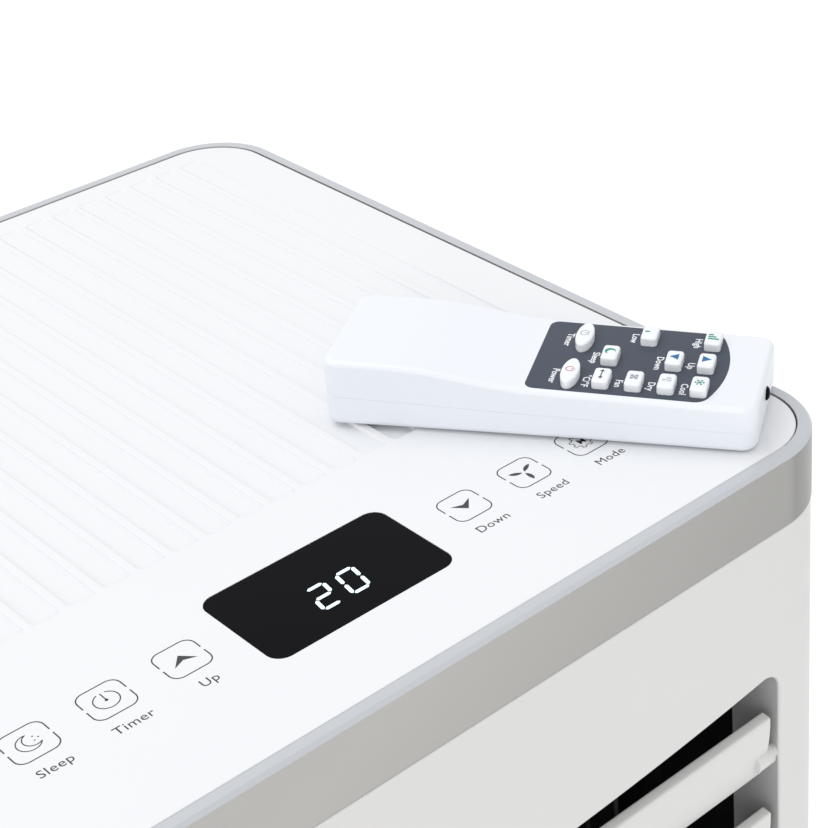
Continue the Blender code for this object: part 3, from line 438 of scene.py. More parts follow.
def linked(name, bm):
    """The shape as an object in the scene, its normals out."""
    bmesh.ops.recalc_face_normals(bm, faces=bm.faces)
    mesh = bpy.data.meshes.new(name)
    bm.to_mesh(mesh)
    bm.free()
    obj = bpy.data.objects.new(name, mesh)
    bpy.context.scene.collection.objects.link(obj)
    return obj


def piece(name, bm, node, extra=None, bevel=0.0, sharp=32.0, matrix=None):
    """The finished piece, with softened edges, riding on its node's body.

    It stands for the node and has the finish of the node's slot, unless it is an extra beside it:
    extra is then its own finish.
    """
    obj = linked(name, bm)
    mesh = obj.data
    if matrix is not None:
        mesh.transform(matrix)
    slot = SLOTS[node]
    mesh.materials.append(extra or SLOT_FINISH[slot])
    mesh.shade_smooth()
    if bevel:
        edge = obj.modifiers.new("softened_edges", "BEVEL")
        edge.width = bevel
        edge.segments = 3
        edge.limit_method = "ANGLE"
        edge.angle_limit = math.radians(sharp)
        edge.harden_normals = True
    else:
        mesh.set_sharp_from_angle(angle=math.radians(sharp))
        even = obj.modifiers.new("even_normals", "WEIGHTED_NORMAL")
        even.keep_sharp = True
        even.weight = 60
    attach(obj, BODIES[node])
    if not extra:
        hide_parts(node)
    return obj


# ---------------------------------------------------------------- cabinet

def cabinet_outline(inset, steps=CORNER_STEPS):
    radius = max(CORNER - inset, 0.6 * MM)
    return rounded_rect(2 * (HALF_WIDTH - inset), 2 * (HALF_DEPTH - inset), radius, steps)


def build_trim_band():
    rim, ledge, ledge_top = 4.5 * MM, 9 * MM, PANEL_TOP - 3.3 * MM
    corners = [
        (0, BAND_LOW), (0, HEIGHT - 1.25 * MM), (1.05 * MM, HEIGHT), (rim, HEIGHT), (rim, ledge_top),
        (ledge, ledge_top), (ledge, HEIGHT - 6 * MM), (3 * MM, HEIGHT - 6 * MM), (3 * MM, BAND_LOW),
    ]
    rounding = [0.35 * MM, 0.5 * MM, 0.4 * MM, 0.25 * MM, 0, 0, 0, 0, 0.2 * MM]
    profile = filleted(corners, rounding, 3)
    bm = bmesh.new()
    loft(bm, [level(cabinet_outline(inset), z) for inset, z in profile], closed=True)
    band = piece("band_with_rim", bm, "trim_band")
    # Painted light: the band's upward faces along its top, bevel included, take the lighter copy of the
    # silver.
    band.data.materials.append(RIM_PAINTED_LIGHT)
    for face in band.data.polygons:
        if face.center.z > HEIGHT - 1.3 * MM and face.normal.z > 0.2:
            face.material_index = 1


def cover_path(side, seam):
    """Plan points of half the cabinet's wall with their outward normals, seam to seam.

    side is -1 for the front half and +1 for the rear half.
    """
    reach_x, reach_y = HALF_WIDTH - CORNER, HALF_DEPTH - CORNER
    path = []
    for turn, sign_x in ((180, -1), (270, 1)) if side < 0 else ((0, 1), (90, -1)):
        for i in range(CORNER_STEPS + 1):
            angle = math.radians(turn + 90 * i / CORNER_STEPS)
            normal = Vector((math.cos(angle), math.sin(angle)))
            path.append((Vector((sign_x * reach_x, side * reach_y)) + normal * CORNER, normal))
    start, end = path[0], path[-1]
    return [(Vector((start[0].x, seam)), start[1])] + path + [(Vector((end[0].x, seam)), end[1])]


def cover_shell(bm, side, seam):
    """The U-shaped wall. Returns its flat spans, each as (outer corners, inner corners)."""
    inner = COVER_INSET + WALL
    corners = [(COVER_INSET, COVER_LOW), (COVER_INSET, COVER_TOP), (inner, COVER_TOP), (inner, COVER_LOW)]
    profile = filleted(corners, [0.6 * MM, 0.6 * MM, 0.2 * MM, 0.2 * MM], 4)
    path = cover_path(side, seam)
    columns = [
        [bm.verts.new((*(point - normal * inset), z)) for inset, z in profile] for point, normal in path
    ]
    middle = CORNER_STEPS + 1
    flat = (0, middle, len(path) - 2)
    tall = (4, 14)  # the profile's outer and inner sides, between its rounded corners
    count = len(profile)
    for i in range(len(path) - 1):
        for k in range(count):
            j = (k + 1) % count
            if i in flat and k in tall:
                continue
            bm.faces.new((columns[i][k], columns[i + 1][k], columns[i + 1][j], columns[i][j]))
    bm.faces.new(columns[0])
    bm.faces.new(columns[-1])
    spans = []
    for i in flat:
        spans.append([
            [columns[i][k], columns[i + 1][k], columns[i + 1][(k + 1) % count], columns[i][(k + 1) % count]]
            for k in tall
        ])
    return spans


def opening(bm, outline, axis, face, depth, lip=0.5 * MM, steps=3):
    """A hole's rounded lip and wall, from its face inwards by depth (signed).

    Returns the outer and the inner loop. outline is a function of a margin.
    """
    way = 1 if depth > 0 else -1
    profile = []
    for step in range(steps + 1):
        angle = math.pi / 2 * step / steps
        profile.append((lip * (1 - math.sin(angle)), face + way * lip * (1 - math.cos(angle))))
    profile.append((0.0, face + depth))
    rings = skin(bm, [[on_axis(axis, a, b, along) for a, b in outline(margin)]
                      for margin, along in profile])
    return rings[0], rings[-1]


def build_front_cover():
    bm = bmesh.new()
    left, front, right = cover_shell(bm, -1, SEAM_FRONT)
    face, inner_face = -HALF_DEPTH + COVER_INSET, -HALF_DEPTH + COVER_INSET + WALL
    outer, back = opening(bm, outlet_outline, "Y", face, COLLAR_BACK - face, OUTLET_LIP, 5)
    rim = ring_of(bm, [(x, COLLAR_BACK, z) for x, z in outlet_outline(COLLAR_WALL)])
    root = ring_of(bm, [(x, inner_face, z) for x, z in outlet_outline(COLLAR_WALL)])
    bridge(bm, back, rim)
    bridge(bm, rim, root)
    fill(bm, [front[0], outer], (0, -1, 0))
    fill(bm, [front[1], root], (0, 1, 0))
    for span in (left, right):
        for loop in span:
            bm.faces.new(loop)
    shell = piece("front_shell", bm, "front_cover")
    # Painted shade: the collar's faces inside the outlet take the darker copy of the white.
    shell.data.materials.append(COLLAR_PAINTED_SHADE)
    for polygon in shell.data.polygons:
        centre = polygon.center
        inside = abs(centre.x) < OUTLET_HALF + 0.1 * MM and centre.z < OUTLET_TOP + 8 * MM
        if centre.y > face + OUTLET_LIP and inside and centre.z > OUTLET_LOW - 9 * MM:
            polygon.material_index = 1


def slot_outline(centre, length, height):
    """A round-ended slot as a function of margin."""
    return lambda margin: rounded_rect(
        length + 2 * margin, height + 2 * margin, height / 2 + margin, 5, centre
    )


def round_hole(centre, radius, sides=40):
    return lambda margin: circle(radius + margin, centre, sides)


def rear_openings():
    """Outlines of everything let into the back wall, as functions of margin."""
    found = []
    slot, pitch = 4.5 * MM, 10 * MM
    for low, high in (mm(402, 632), mm(84, 222)):
        for i in range(int((high - low) / pitch)):
            for side in (-1, 1):
                centre = (side * 55.5 * MM, low + i * pitch + slot / 2)
                found.append(slot_outline(centre, 105 * MM, slot))
    found.append(round_hole((0.0, *centre_of("exhaust_collar", 2)), 64 * MM, 72))
    found.append(round_hole(centre_of("drain_plug", 0, 2), 11.5 * MM))
    found.append(round_hole(centre_of("cord_gland", 0, 2), 7.4 * MM))
    return found


def handle_outline(margin):
    return rounded_rect(
        HANDLE_SIZE[0] + 2 * margin, HANDLE_SIZE[1] + 2 * margin, HANDLE_CORNER + margin, 8,
        centre_of("handle_right", 1, 2),
    )


def build_rear_cover():
    bm = bmesh.new()
    right, back, left = cover_shell(bm, 1, SEAM_REAR)
    face = HALF_DEPTH - COVER_INSET
    loops = [opening(bm, outline, "Y", face, -WALL, 0.5 * MM) for outline in rear_openings()]
    fill(bm, [back[0]] + [outer for outer, _ in loops], (0, 1, 0))
    fill(bm, [back[1]] + [inner for _, inner in loops], (0, -1, 0))
    filter_low, filter_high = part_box("air_filter")
    centre = centre_of("air_filter", 1, 2)
    tall = filter_high.z - filter_low.z + 3 * MM

    def filter_mouth(margin):
        return rounded_rect(9.6 * MM + 2 * margin, tall + 2 * margin, 1.2 * MM + margin, 4, centre)

    for span, side in ((right, 1), (left, -1)):
        wall = side * (HALF_WIDTH - COVER_INSET)
        mouths = [lambda margin: handle_outline(margin + GAP)]
        if side > 0:
            mouths.append(filter_mouth)
        loops = [opening(bm, mouth, "X", wall, -side * WALL, 0.4 * MM) for mouth in mouths]
        fill(bm, [span[0]] + [outer for outer, _ in loops], (side, 0, 0))
        fill(bm, [span[1]] + [inner for _, inner in loops], (-side, 0, 0))
    piece("rear_shell", bm, "rear_cover")


def build_handles():
    """Grip pockets: a rounded rim, walls that draw in a little and a rounded floor."""
    draw, fillet = 0.9 * MM, 4 * MM
    for node, side in (("handle_left", -1), ("handle_right", 1)):
        low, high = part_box(node)
        mouth = side * (HALF_WIDTH - 0.5 * MM)
        floor = (low.x if side > 0 else high.x) + side * HANDLE_WALL
        deep = abs(mouth - floor)
        steps = [
            (-0.25 * MM, deep + HANDLE_WALL * 0.9), mm(-0.25, 0.35), mm(-0.25, 0.0), mm(-0.7, 0.0),
            mm(-1.2, 0.18), mm(-1.5, 0.6), (-HANDLE_WALL, 3 * MM), (-HANDLE_WALL - draw, deep - fillet),
        ]
        for i in range(1, 6):
            angle = math.pi / 2 * i / 5
            steps.append((-HANDLE_WALL - draw - fillet * (1 - math.cos(angle)),
                          deep - fillet + fillet * math.sin(angle)))
        bm = bmesh.new()
        loft(bm, [[(mouth - side * depth, a, b) for a, b in handle_outline(margin)]
                  for margin, depth in steps])
        piece(f"{node}_pocket", bm, node)


def flutes():
    """Centre lines of the shallow flutes that run back over the top."""
    return [(i - RIB_COUNT / 2 + 0.5) * RIB_PITCH for i in range(RIB_COUNT)]


def flute_depth(y):
    """Full depth at the front, a quarter of it at the back."""
    return FLUTE_DEPTH * (0.25 + 0.75 * (FLUTE_BACK - y) / (FLUTE_BACK - FLUTE_FRONT))


def carve_flute(bm, x):
    """A flat-floored flute, shallower towards the back. Returns its mouth in the top face."""
    centre = (x, (FLUTE_FRONT + FLUTE_BACK) / 2)
    wide, long = RIB_PITCH - RIB_LAND, FLUTE_BACK - FLUTE_FRONT
    steps = [
        (0.0, 0.0), (-0.15, 0.04), (-0.35, 0.18), (-0.6, 0.5), (-0.85, 0.82), (-1.1, 0.96), (-1.5, 1.0)
    ]
    loops = []
    for inset, drop in steps:
        margin = inset * FLUTE_EDGE
        outline = rounded_rect(
            wide + 2 * margin, long + 2 * margin, FLUTE_CORNER + margin, 4, centre
        )
        loops.append([(a, b, PANEL_TOP - drop * flute_depth(b)) for a, b in outline])
    rings = skin(bm, loops)
    bm.faces.new(rings[-1])
    return rings[0]


def build_top_panel():
    bm = bmesh.new()
    edge, roll = HALF_WIDTH - PANEL_HIGH.x, 0.5 * MM
    profile = []
    for i in range(5):
        turn = math.pi / 8 * i
        profile.append((edge + roll * (1 - math.sin(turn)), PANEL_TOP - roll * (1 - math.cos(turn))))
    profile.append((edge, PANEL_LOW.z))
    rings = skin(bm, [level(cabinet_outline(inset), z) for inset, z in profile])
    bm.faces.new(rings[-1])

    window_low, window_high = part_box("display_window")
    centre = centre_of("display_window", 0, 1)
    size = window_high - window_low
    slack = 0.12 * MM

    def recess(margin):
        grow = 2 * (margin + slack)
        return rounded_rect(size.x + grow, size.y + grow, 5 * MM + margin, 10, centre)

    mouth, floor = opening(bm, recess, "Z", PANEL_TOP, -1.9 * MM, slack, 2)
    bm.faces.new(floor)
    fill(bm, [rings[0], mouth] + [carve_flute(bm, x) for x in flutes()], (0, 0, 1))
    piece("panel_with_flutes", bm, "top_panel")

    glass = bmesh.new()
    steps = [(0.0, -1.5 * MM), (0.0, -0.2 * MM), mm(-0.06, -0.06), (-0.2 * MM, 0.0)]
    loft(glass, [
        [(x, y, PANEL_TOP + z)
         for x, y in rounded_rect(size.x + 2 * m, size.y + 2 * m, 4.85 * MM + m, 10, centre)]
        for m, z in steps
    ])
    piece("display_glass", glass, "display_window")


# ---------------------------------------------------------------- print on the panel

def slab(bm, outline, matrix, thick=PRINT):
    """A thin closed shape laid on the plane of the matrix."""
    loft(bm, [[matrix @ Vector((a, b, z)) for a, b in outline] for z in (-thick, thick)])


def stroke(bm, points, width, matrix, closed=False, thick=PRINT):
    """A line of even width along the points."""
    count = len(points)
    left, right = [], []
    for i, point in enumerate(points):
        here = Vector(point)
        before = Vector(points[i - 1]) if i or closed else here
        after = Vector(points[(i + 1) % count]) if i < count - 1 or closed else here
        way = (after - before).normalized()
        side = Vector((-way.y, way.x)) * width / 2
        left.append(here + side)
        right.append(here - side)
    if not closed:
        slab(bm, left + right[::-1], matrix, thick)
        return
    loft(bm, [
        [matrix @ Vector((p.x, p.y, z)) for p in loop]
        for loop, z in ((left, -thick), (left, thick), (right, thick), (right, -thick))
    ], closed=True)


def lettering(bm, text, height, matrix, thick=PRINT, spacing=1.0, weight=0.0):
    """Raised plain letters whose capitals have the given height, on the matrix's plane."""
    curve = bpy.data.curves.new("lettering", "FONT")
    curve.body = text
    curve.size = height / CAPITAL_SHARE
    curve.align_x = "CENTER"
    curve.offset = weight
    curve.space_character = spacing
    curve.resolution_u = 3
    curve.extrude = thick
    obj = bpy.data.objects.new("lettering", curve)
    bpy.context.scene.collection.objects.link(obj)
    bpy.context.view_layer.update()
    evaluated = obj.evaluated_get(bpy.context.evaluated_depsgraph_get())
    mesh = bpy.data.meshes.new_from_object(evaluated)
    mesh.transform(matrix)
    bm.from_mesh(mesh)
    bpy.data.meshes.remove(mesh)
    bpy.data.objects.remove(obj)
    bpy.data.curves.remove(curve)


def key_frame_lines(bm, matrix):
    """The outline of a touch key: two brackets that nearly meet at the sides."""
    wide, tall, gap = mm(12.8, 13.4, 1.7)
    outline = rounded_rect(wide, tall, 3 * MM, 8)
    upper = [(a, b) for a, b in outline if b > 0]
    upper = [(wide / 2, gap / 2)] + upper + [(-wide / 2, gap / 2)]
    stroke(bm, upper, 0.38 * MM, matrix)
    stroke(bm, [(-a, -b) for a, b in upper], 0.38 * MM, matrix)


def chevron(bm, matrix, up):
    wide, tall, notch = 3.5 * MM, 2.05 * MM, 1.5 * MM
    way = 1 if up else -1
    points = [(-wide, -tall), (0.0, tall), (wide, -tall), (0.0, -tall + notch)]
    slab(bm, [(a, b * way) for a, b in points], matrix)


def fan_icon(bm, matrix):
    for turn in (30, 150, 270):
        a = math.radians(turn)
        way, side = Vector((math.cos(a), math.sin(a))), Vector((-math.sin(a), math.cos(a)))
        points = []
        for i in range(9):
            t = i / 8
            points.append(way * (0.5 + 4.3 * t) * MM + side * 0.95 * MM * math.sin(math.pi * t) ** 0.7)
        for i in range(7, 0, -1):
            t = i / 8
            points.append(way * (0.5 + 4.3 * t) * MM - side * 0.45 * MM * math.sin(math.pi * t))
        slab(bm, [tuple(p) for p in points], matrix)


def gear_icon(bm, matrix):
    teeth, points = 8, []
    for i in range(teeth):
        for share, radius in ((0.08, 2.9), (0.2, 3.75), (0.52, 3.75), (0.64, 2.9)):
            a = 2 * math.pi * (i + share - 0.36) / teeth + math.pi / 8
            points.append((radius * MM * math.cos(a), radius * MM * math.sin(a)))
    stroke(bm, points, 0.32 * MM, matrix, closed=True)
    lettering(bm, "M", 2.5 * MM, matrix @ Matrix.Translation((0, -1.25 * MM, 0)), weight=0.1 * MM)


def clock_icon(bm, matrix, radius=3.5 * MM, width=0.34 * MM):
    stroke(bm, arc((0, 0), radius, 108, 432 - 4, 40), width, matrix)
    stroke(bm, [(0, 0), (0, radius * 0.98)], width, matrix)
    slab(bm, circle(0.5 * MM * radius / (3.5 * MM), (0, 0), 14), matrix)


def crescent(radius, horn=52.0, hollow=0.62, steps=24):
    """A moon's outline with its horns towards +X; hollow is how deep its inner edge is cut."""
    outer = arc((0.0, 0.0), radius, horn, 360 - horn, steps)
    tip = Vector(outer[0])
    deepest = -radius * (1 - hollow) * 0.9
    centre = (tip.length_squared - deepest ** 2) / (2 * (tip.x - deepest))
    start = math.degrees(math.atan2(tip.y, tip.x - centre))
    inner = arc((centre, 0.0), centre - deepest, 360 - start, start, steps)
    return outer + inner[1:-1]


def moon_icon(bm, matrix):
    turn = matrix @ Matrix.Rotation(math.radians(25), 4, "Z")
    stroke(bm, crescent(3.3 * MM), 0.32 * MM, turn, closed=True)
    for a, b in ((1.9, 1.6), (2.9, 0.4), (1.6, -0.2)):
        slab(bm, circle(0.24 * MM, (a * MM, b * MM), 10), matrix)


def power_icon(bm, matrix, radius=2.9 * MM, width=0.36 * MM):
    stroke(bm, arc((0, 0), radius, 125, 415, 30), width, matrix)
    stroke(bm, [(0, radius * 0.25), (0, radius * 1.25)], width, matrix)


PANEL_KEYS = (
    ("Sleep", -92.8, -111.3, moon_icon), ("Timer", -70.2, -111.3, clock_icon),
    ("Up", -47.4, -111.6, lambda bm, matrix: chevron(bm, matrix, True)),
    ("Down", 49.6, -112.5, lambda bm, matrix: chevron(bm, matrix, False)),
    ("Speed", 73.0, -112.5, fan_icon), ("Mode", 96.3, -112.5, gear_icon),
    ("Power", 119.5, -112.5, power_icon),
)


def build_panel_print():
    bm = bmesh.new()
    for label, x, y, icon in PANEL_KEYS:
        matrix = Matrix.Translation((x * MM, y * MM, PANEL_TOP))
        key_frame_lines(bm, matrix)
        icon(bm, matrix)
        below = Matrix.Translation((x * MM, (y - 14.2) * MM, PANEL_TOP))
        lettering(bm, label, 3.3 * MM, below, spacing=1.06)
    piece("panel_print", bm, "top_panel", INK)


def build_display_digits():
    """Two seven-segment figures that lean to the right."""
    wide, tall, thick, lean = 5.6 * MM, 10.3 * MM, 1.2 * MM, math.tan(math.radians(8))
    low = centre_of("display_window", 1)[0] - 9.4 * MM
    bm = bmesh.new()
    for figure, start in (("2", -8.6 * MM), ("0", 1.4 * MM)):
        for name in DIGITS[figure]:
            first, last = (Vector((a * wide, b * tall)) for a, b in SEGMENTS[name])
            way = (last - first).normalized()
            side = Vector((-way.y, way.x)) * thick / 2
            gap = 0.28 * MM
            first, last = first + way * gap, last - way * gap
            tip = way * thick / 2
            outline = [first, first + tip + side, last - tip + side]
            outline += [last, last - tip - side, first + tip - side]
            outline = [(start + p.x + p.y * lean, low + p.y) for p in outline]
            slab(bm, outline, Matrix.Translation((0, 0, PANEL_TOP + 0.04 * MM)))
    piece("display_figures", bm, "display_window", GLOW)


# ---------------------------------------------------------------- louvres and vanes

def louver_section():
    """One blade's cross-section about its pivot: bowed towards the front, soft edges."""
    top, low = 18.0 * MM, -7.8 * MM
    front, back = [], []
    for i in range(13):
        t = i / 12
        z = top + (low - top) * t
        y = -3.8 * MM + 4.4 * MM * t * t
        thick = (4.0 - 1.0 * t) * MM
        front.append((y, z))
        back.append((y + thick, z + 0.6 * MM))
    outline = front + back[::-1]
    radii = [1.0 * MM if i in (0, 12, 13, 25) else 0 for i in range(26)]
    return filleted(outline, radii, 4)


def build_louvers():
    half = 124 * MM
    for node in ("louver_1", "louver_2", "louver_3"):
        low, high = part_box(node)
        axis = (LOUVER_Y, high.z - 18.6 * MM)
        section = [(axis[0] + a, axis[1] + b) for a, b in louver_section()]
        bm = bmesh.new()
        prism(bm, section, -half, half, "X")
        for side, reach in ((1, high.x), (-1, -low.x - 2.2 * MM)):
            stub = [(3.9, half - 5 * MM), (3.9, half + 2.1 * MM), (3.4, half + 2.6 * MM),
                    (2.6, half + 2.6 * MM), (2.6, reach - 0.5 * MM), (2.1, reach)]
            turned(bm, [(r * MM, side * x) for r, x in stub], "X", axis, 28)
        crank = low.x + 4.8 * MM
        arm = rectangle(axis[0] - 1.5 * MM, axis[0] + 14.4 * MM, axis[1] - 2.1 * MM, axis[1] + 2.1 * MM)
        arm = filleted(arm, 2.0 * MM, 6)
        prism(bm, arm, crank, crank + 2.2 * MM, "X")
        turned(bm, [(1.55 * MM, crank + 1 * MM), (1.55 * MM, low.x + 0.3 * MM), (1.2 * MM, low.x)], "X",
               (axis[0] + 12 * MM, axis[1]), 20)
        piece(f"{node}_blade", bm, node, bevel=0.45 * MM, sharp=50)


def build_vanes():
    for i in range(1, 5):
        node = f"vane_{i}"
        low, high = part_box(node)
        x = (low.x + high.x) / 2
        bm = bmesh.new()
        plate = filleted(rectangle(x - 1 * MM, x + 1 * MM, -140 * MM, -110 * MM), 0.7 * MM, 4)
        prism(bm, plate, 483 * MM, 601 * MM)
        turned(bm, [(1.6 * MM, low.z), (2 * MM, low.z + 0.4 * MM), (2 * MM, high.z - 0.4 * MM),
                    (1.6 * MM, high.z)], "Z", (x, VANE_PIVOT_Y), 24)
        turned(bm, [mm(1.2, 477), mm(1.5, 477.3), mm(1.5, 485)], "Z",
               (x, VANE_PIVOT_Y + VANE_CRANK), 20)
        piece(f"{node}_plate", bm, node, bevel=0.25 * MM, sharp=50)


# ---------------------------------------------------------------- base, casters, back fittings

def build_base():
    bm = bmesh.new()
    floor, wall = TRAY_FLOOR, 3 * MM
    corners = [
        (1.5 * MM, TRAY_UNDERSIDE), mm(0.3, 42), (0.3 * MM, COVER_LOW - 0.4 * MM),
        (3.4 * MM, COVER_LOW - 0.4 * MM), mm(3.4, 76), mm(6, 76), (6 * MM, floor),
    ]
    profile = filleted(corners, [0.8 * MM, 0.8 * MM, 0.35 * MM, 0, 0.4 * MM, 0.4 * MM, 0], 3)
    rings = skin(bm, [level(cabinet_outline(inset), z) for inset, z in profile])

    sump_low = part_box("base_tray")[0].z

    def sump(margin):
        return rounded_rect(150 * MM + 2 * margin, 170 * MM + 2 * margin, 12 * MM + margin, 8)

    outer = [(0.8 * MM, TRAY_UNDERSIDE), mm(0.2, 39.8), (0.0, 39.2 * MM), (0.0, sump_low + 1 * MM),
             (-0.3 * MM, sump_low + 0.3 * MM), (-1 * MM, sump_low)]
    skirt = skin(bm, [level(sump(margin), z) for margin, z in outer])
    bm.faces.new(skirt[-1])
    well = skin(bm, [level(sump(-wall), z) for z in (floor, sump_low + wall)])
    bm.faces.new(well[1])
    fill(bm, [rings[-1], well[0]], (0, 0, 1))

    spots = [(x, y) for x in (-CASTER_SPOT, CASTER_SPOT) for y in (-CASTER_SPOT, CASTER_SPOT)]
    holes = [skirt[0]]
    for spot in spots:
        mouth, inner = opening(bm, round_hole(spot, 4.4 * MM, 24), "Z", TRAY_UNDERSIDE, 6 * MM, 0.3 * MM)
        bm.faces.new(inner)
        holes.append(mouth)
    fill(bm, [rings[0]] + holes, (0, 0, -1))
    for spot in spots:
        turned(bm, [(9 * MM, floor - 1 * MM), mm(9, 63.4), mm(8.4, 64)], "Z", spot, 32)
    compressor_low, compressor_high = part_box("compressor")
    middle = (compressor_low + compressor_high) / 2
    turned(bm, [(30 * MM, floor - 1 * MM), mm(30, 83), mm(29, 84)], "Z",
           (middle.x, middle.y), 40)
    piece("base_with_skirt", bm, "base_tray")


def build_exhaust_collar():
    low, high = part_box("exhaust_collar")
    centre = centre_of("exhaust_collar", 0, 2)
    outer = (high.x - low.x) / 2
    tube, bore = outer - 5.6 * MM, outer - 8 * MM
    corners = [
        (bore, low.y), (tube, low.y), (tube, high.y - 2.4 * MM), (outer, high.y - 2.4 * MM),
        (outer, high.y), (bore, high.y),
    ]
    profile = filleted(corners, [0, 0.3 * MM, 0.4 * MM, 0.4 * MM, 1.0 * MM, 1.2 * MM], 4)
    bm = bmesh.new()
    turned(bm, profile, "Y", centre, 96, closed=True)
    piece("exhaust_port_collar", bm, "exhaust_collar")


def build_drain_plug():
    low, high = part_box("drain_plug")
    centre = centre_of("drain_plug", 0, 2)
    head = high.y
    corners = [
        (4.6 * MM, low.y), (6.1 * MM, low.y + 1 * MM), (6.1 * MM, head - 2.2 * MM),
        (11 * MM, head - 2.2 * MM), (11 * MM, head), (8 * MM, head - 0.2 * MM), (7.6 * MM, head - 1.2 * MM),
    ]
    bm = bmesh.new()
    turned(bm, filleted(corners, [0, 0.4 * MM, 0.2 * MM, 0.3 * MM, 0.6 * MM, 0.2 * MM, 0], 4, False),
           "Y", centre, 48)
    grip = rectangle(centre[0] - 7.4 * MM, centre[0] + 7.4 * MM, centre[1] - 1.3 * MM, centre[1] + 1.3 * MM)
    grip = filleted(grip, 1.2 * MM, 5)
    prism(bm, grip, head - 1.6 * MM, head - 0.1 * MM, "Y")
    piece("drain_plug_head", bm, "drain_plug")


def build_air_filter():
    low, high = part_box("air_filter")
    y = (low.y + high.y) / 2
    bm = bmesh.new()
    x0, x1, z0, z1 = low.x, 150 * MM, low.z, high.z
    bar = FILTER_BAR
    step_x, step_z = 236 * MM / FILTER_COLUMNS, (z1 - z0 - bar) / FILTER_ROWS
    windows = []
    for i in range(FILTER_COLUMNS):
        for j in range(FILTER_ROWS):
            a, b = -112 * MM + i * step_x, z0 + bar + j * step_z
            centre = (a + (step_x - bar) / 2, b + (step_z - bar) / 2)
            windows.append(rounded_rect(step_x - bar, step_z - bar, 2 * MM, 5, centre))
    outline = rounded_rect(x1 - x0, z1 - z0, 2.5 * MM, 6, ((x0 + x1) / 2, (z0 + z1) / 2))
    faces = []
    for along in (y - 3 * MM, y + 3 * MM):
        loops = [ring_of(bm, [(a, along, b) for a, b in loop]) for loop in [outline] + windows]
        fill(bm, loops, (0, 1, 0))
        faces.append(loops)
    for first, second in zip(*faces):
        bridge(bm, first, second)
    piece("filter_frame", bm, "air_filter")

    pull = bmesh.new()
    steps = [(0.0, 148 * MM), (0.0, high.x - 1 * MM), (-0.3 * MM, high.x - 0.3 * MM), (-1 * MM, high.x)]
    middle = (z0 + z1) / 2
    loft(pull, [
        [(x, a, b)
         for a, b in rounded_rect(8.6 * MM + 2 * m, z1 - z0 + 2 * m, 1.2 * MM, 4, (y, middle))]
        for m, x in steps
    ])
    for i in range(-3, 4):
        ridge = rounded_rect(5 * MM, 1.2 * MM, 0.59 * MM, 4, (y, middle + i * 3 * MM))
        prism(pull, ridge, high.x - 0.5 * MM, high.x + 0.25 * MM, "X")
    piece("filter_pull", pull, "air_filter", WHITE)

    net = bmesh.new()
    x0, z0 = x0 + 2 * MM, z0 + 2 * MM
    x_end, z_end, half, lay = 122 * MM, z1 - 2 * MM, 0.22 * MM, 0.2 * MM
    for i in range(int((x_end - x0) / NET_PITCH)):
        prism(net, diamond(x0 + i * NET_PITCH, y - lay, half), z0, z_end)
    for i in range(int((z_end - z0) / NET_PITCH)):
        prism(net, diamond(y + lay, z0 + i * NET_PITCH, half), x0, x_end, "X")
    piece("filter_net_mesh", net, "air_filter", NET)


def diamond(a, b, half):
    return [(a - half, b), (a, b - half), (a + half, b), (a, b + half)]


def build_casters():
    for corner in ("front_left", "front_right", "rear_left", "rear_right"):
        wheel_low, wheel_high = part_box(f"caster_wheel_{corner}")
        x, *axle = centre_of(f"caster_wheel_{corner}", 0, 1, 2)
        y = axle[0] - CASTER_TRAIL
        inner, outer = 8.7 * MM, 11.3 * MM
        bm = bmesh.new()
        turned(bm, [mm(14.8, 36.8), mm(16, 37.4), mm(16, 39.0), mm(15.6, 39.4)],
               "Z", (x, y), 48)
        turned(bm, [mm(4, 39), mm(4, 57.4), mm(3.4, 58)], "Z", (x, y), 28)
        cheek = filleted([
            (y - 9 * MM, 38 * MM), (y - 8 * MM, 32 * MM), (y + 6 * MM, 12 * MM), (y + 16 * MM, 11 * MM),
            (y + 20 * MM, 20 * MM), (y + 14 * MM, 38 * MM),
        ], [0, 6 * MM, 5 * MM, 5 * MM, 5 * MM, 0], 6)
        for side in (-1, 1):
            ends = sorted((x + side * inner, x + side * outer))
            prism(bm, cheek, *ends, "X")
            cap = [(4.6 * MM, x + side * (outer - 0.4 * MM)), (4.6 * MM, x + side * (outer - 0.05 * MM)),
                   (3.8 * MM, x + side * (outer + 0.3 * MM))]
            turned(bm, cap, "X", axle, 28)
        turned(bm, [(3 * MM, x - outer + 0.2 * MM), (3 * MM, x + outer - 0.2 * MM)], "X", axle, 24)
        piece(f"caster_{corner}_fork", bm, f"caster_fork_{corner}", bevel=0.35 * MM, sharp=50)

        bm = bmesh.new()
        half, radius = (wheel_high.x - wheel_low.x) / 2, axle[1]
        corners = [(3.3, -half), (8.6, -half), (9.2, -half + 1.2 * MM), (13.6, -half + 1.2 * MM),
                   (14.2, -half), (16.6, -half)]
        side_a = [(r * MM, x + a) for r, a in corners]
        side_b = [(r * MM, x - a) for r, a in reversed(corners)]
        tread = []
        for i in range(13):
            turn = math.radians(-78 + 13 * i)
            crown = radius - 1.35 * MM * (1 - math.cos(turn) ** 0.5)
            tread.append((crown, x + (half - 1.6 * MM) * math.sin(turn)))
        turned(bm, side_a + tread + side_b, "X", axle, 56, closed=True)
        piece(f"caster_{corner}_wheel", bm, f"caster_wheel_{corner}")


# ---------------------------------------------------------------- handset

def handset_top(x):
    """Height of the top face along the handset, in its own frame."""
    start, crest = -2 * MM, 0.65
    t = max((start - x) / (start - HANDSET_GRIP + 1 * MM), 0.0)
    rise = (1 - math.cos(math.pi * min(t / crest, 1.0))) / 2
    return 4 * MM * rise - 0.5 * MM * max((t - crest) / (1 - crest), 0.0) ** 2


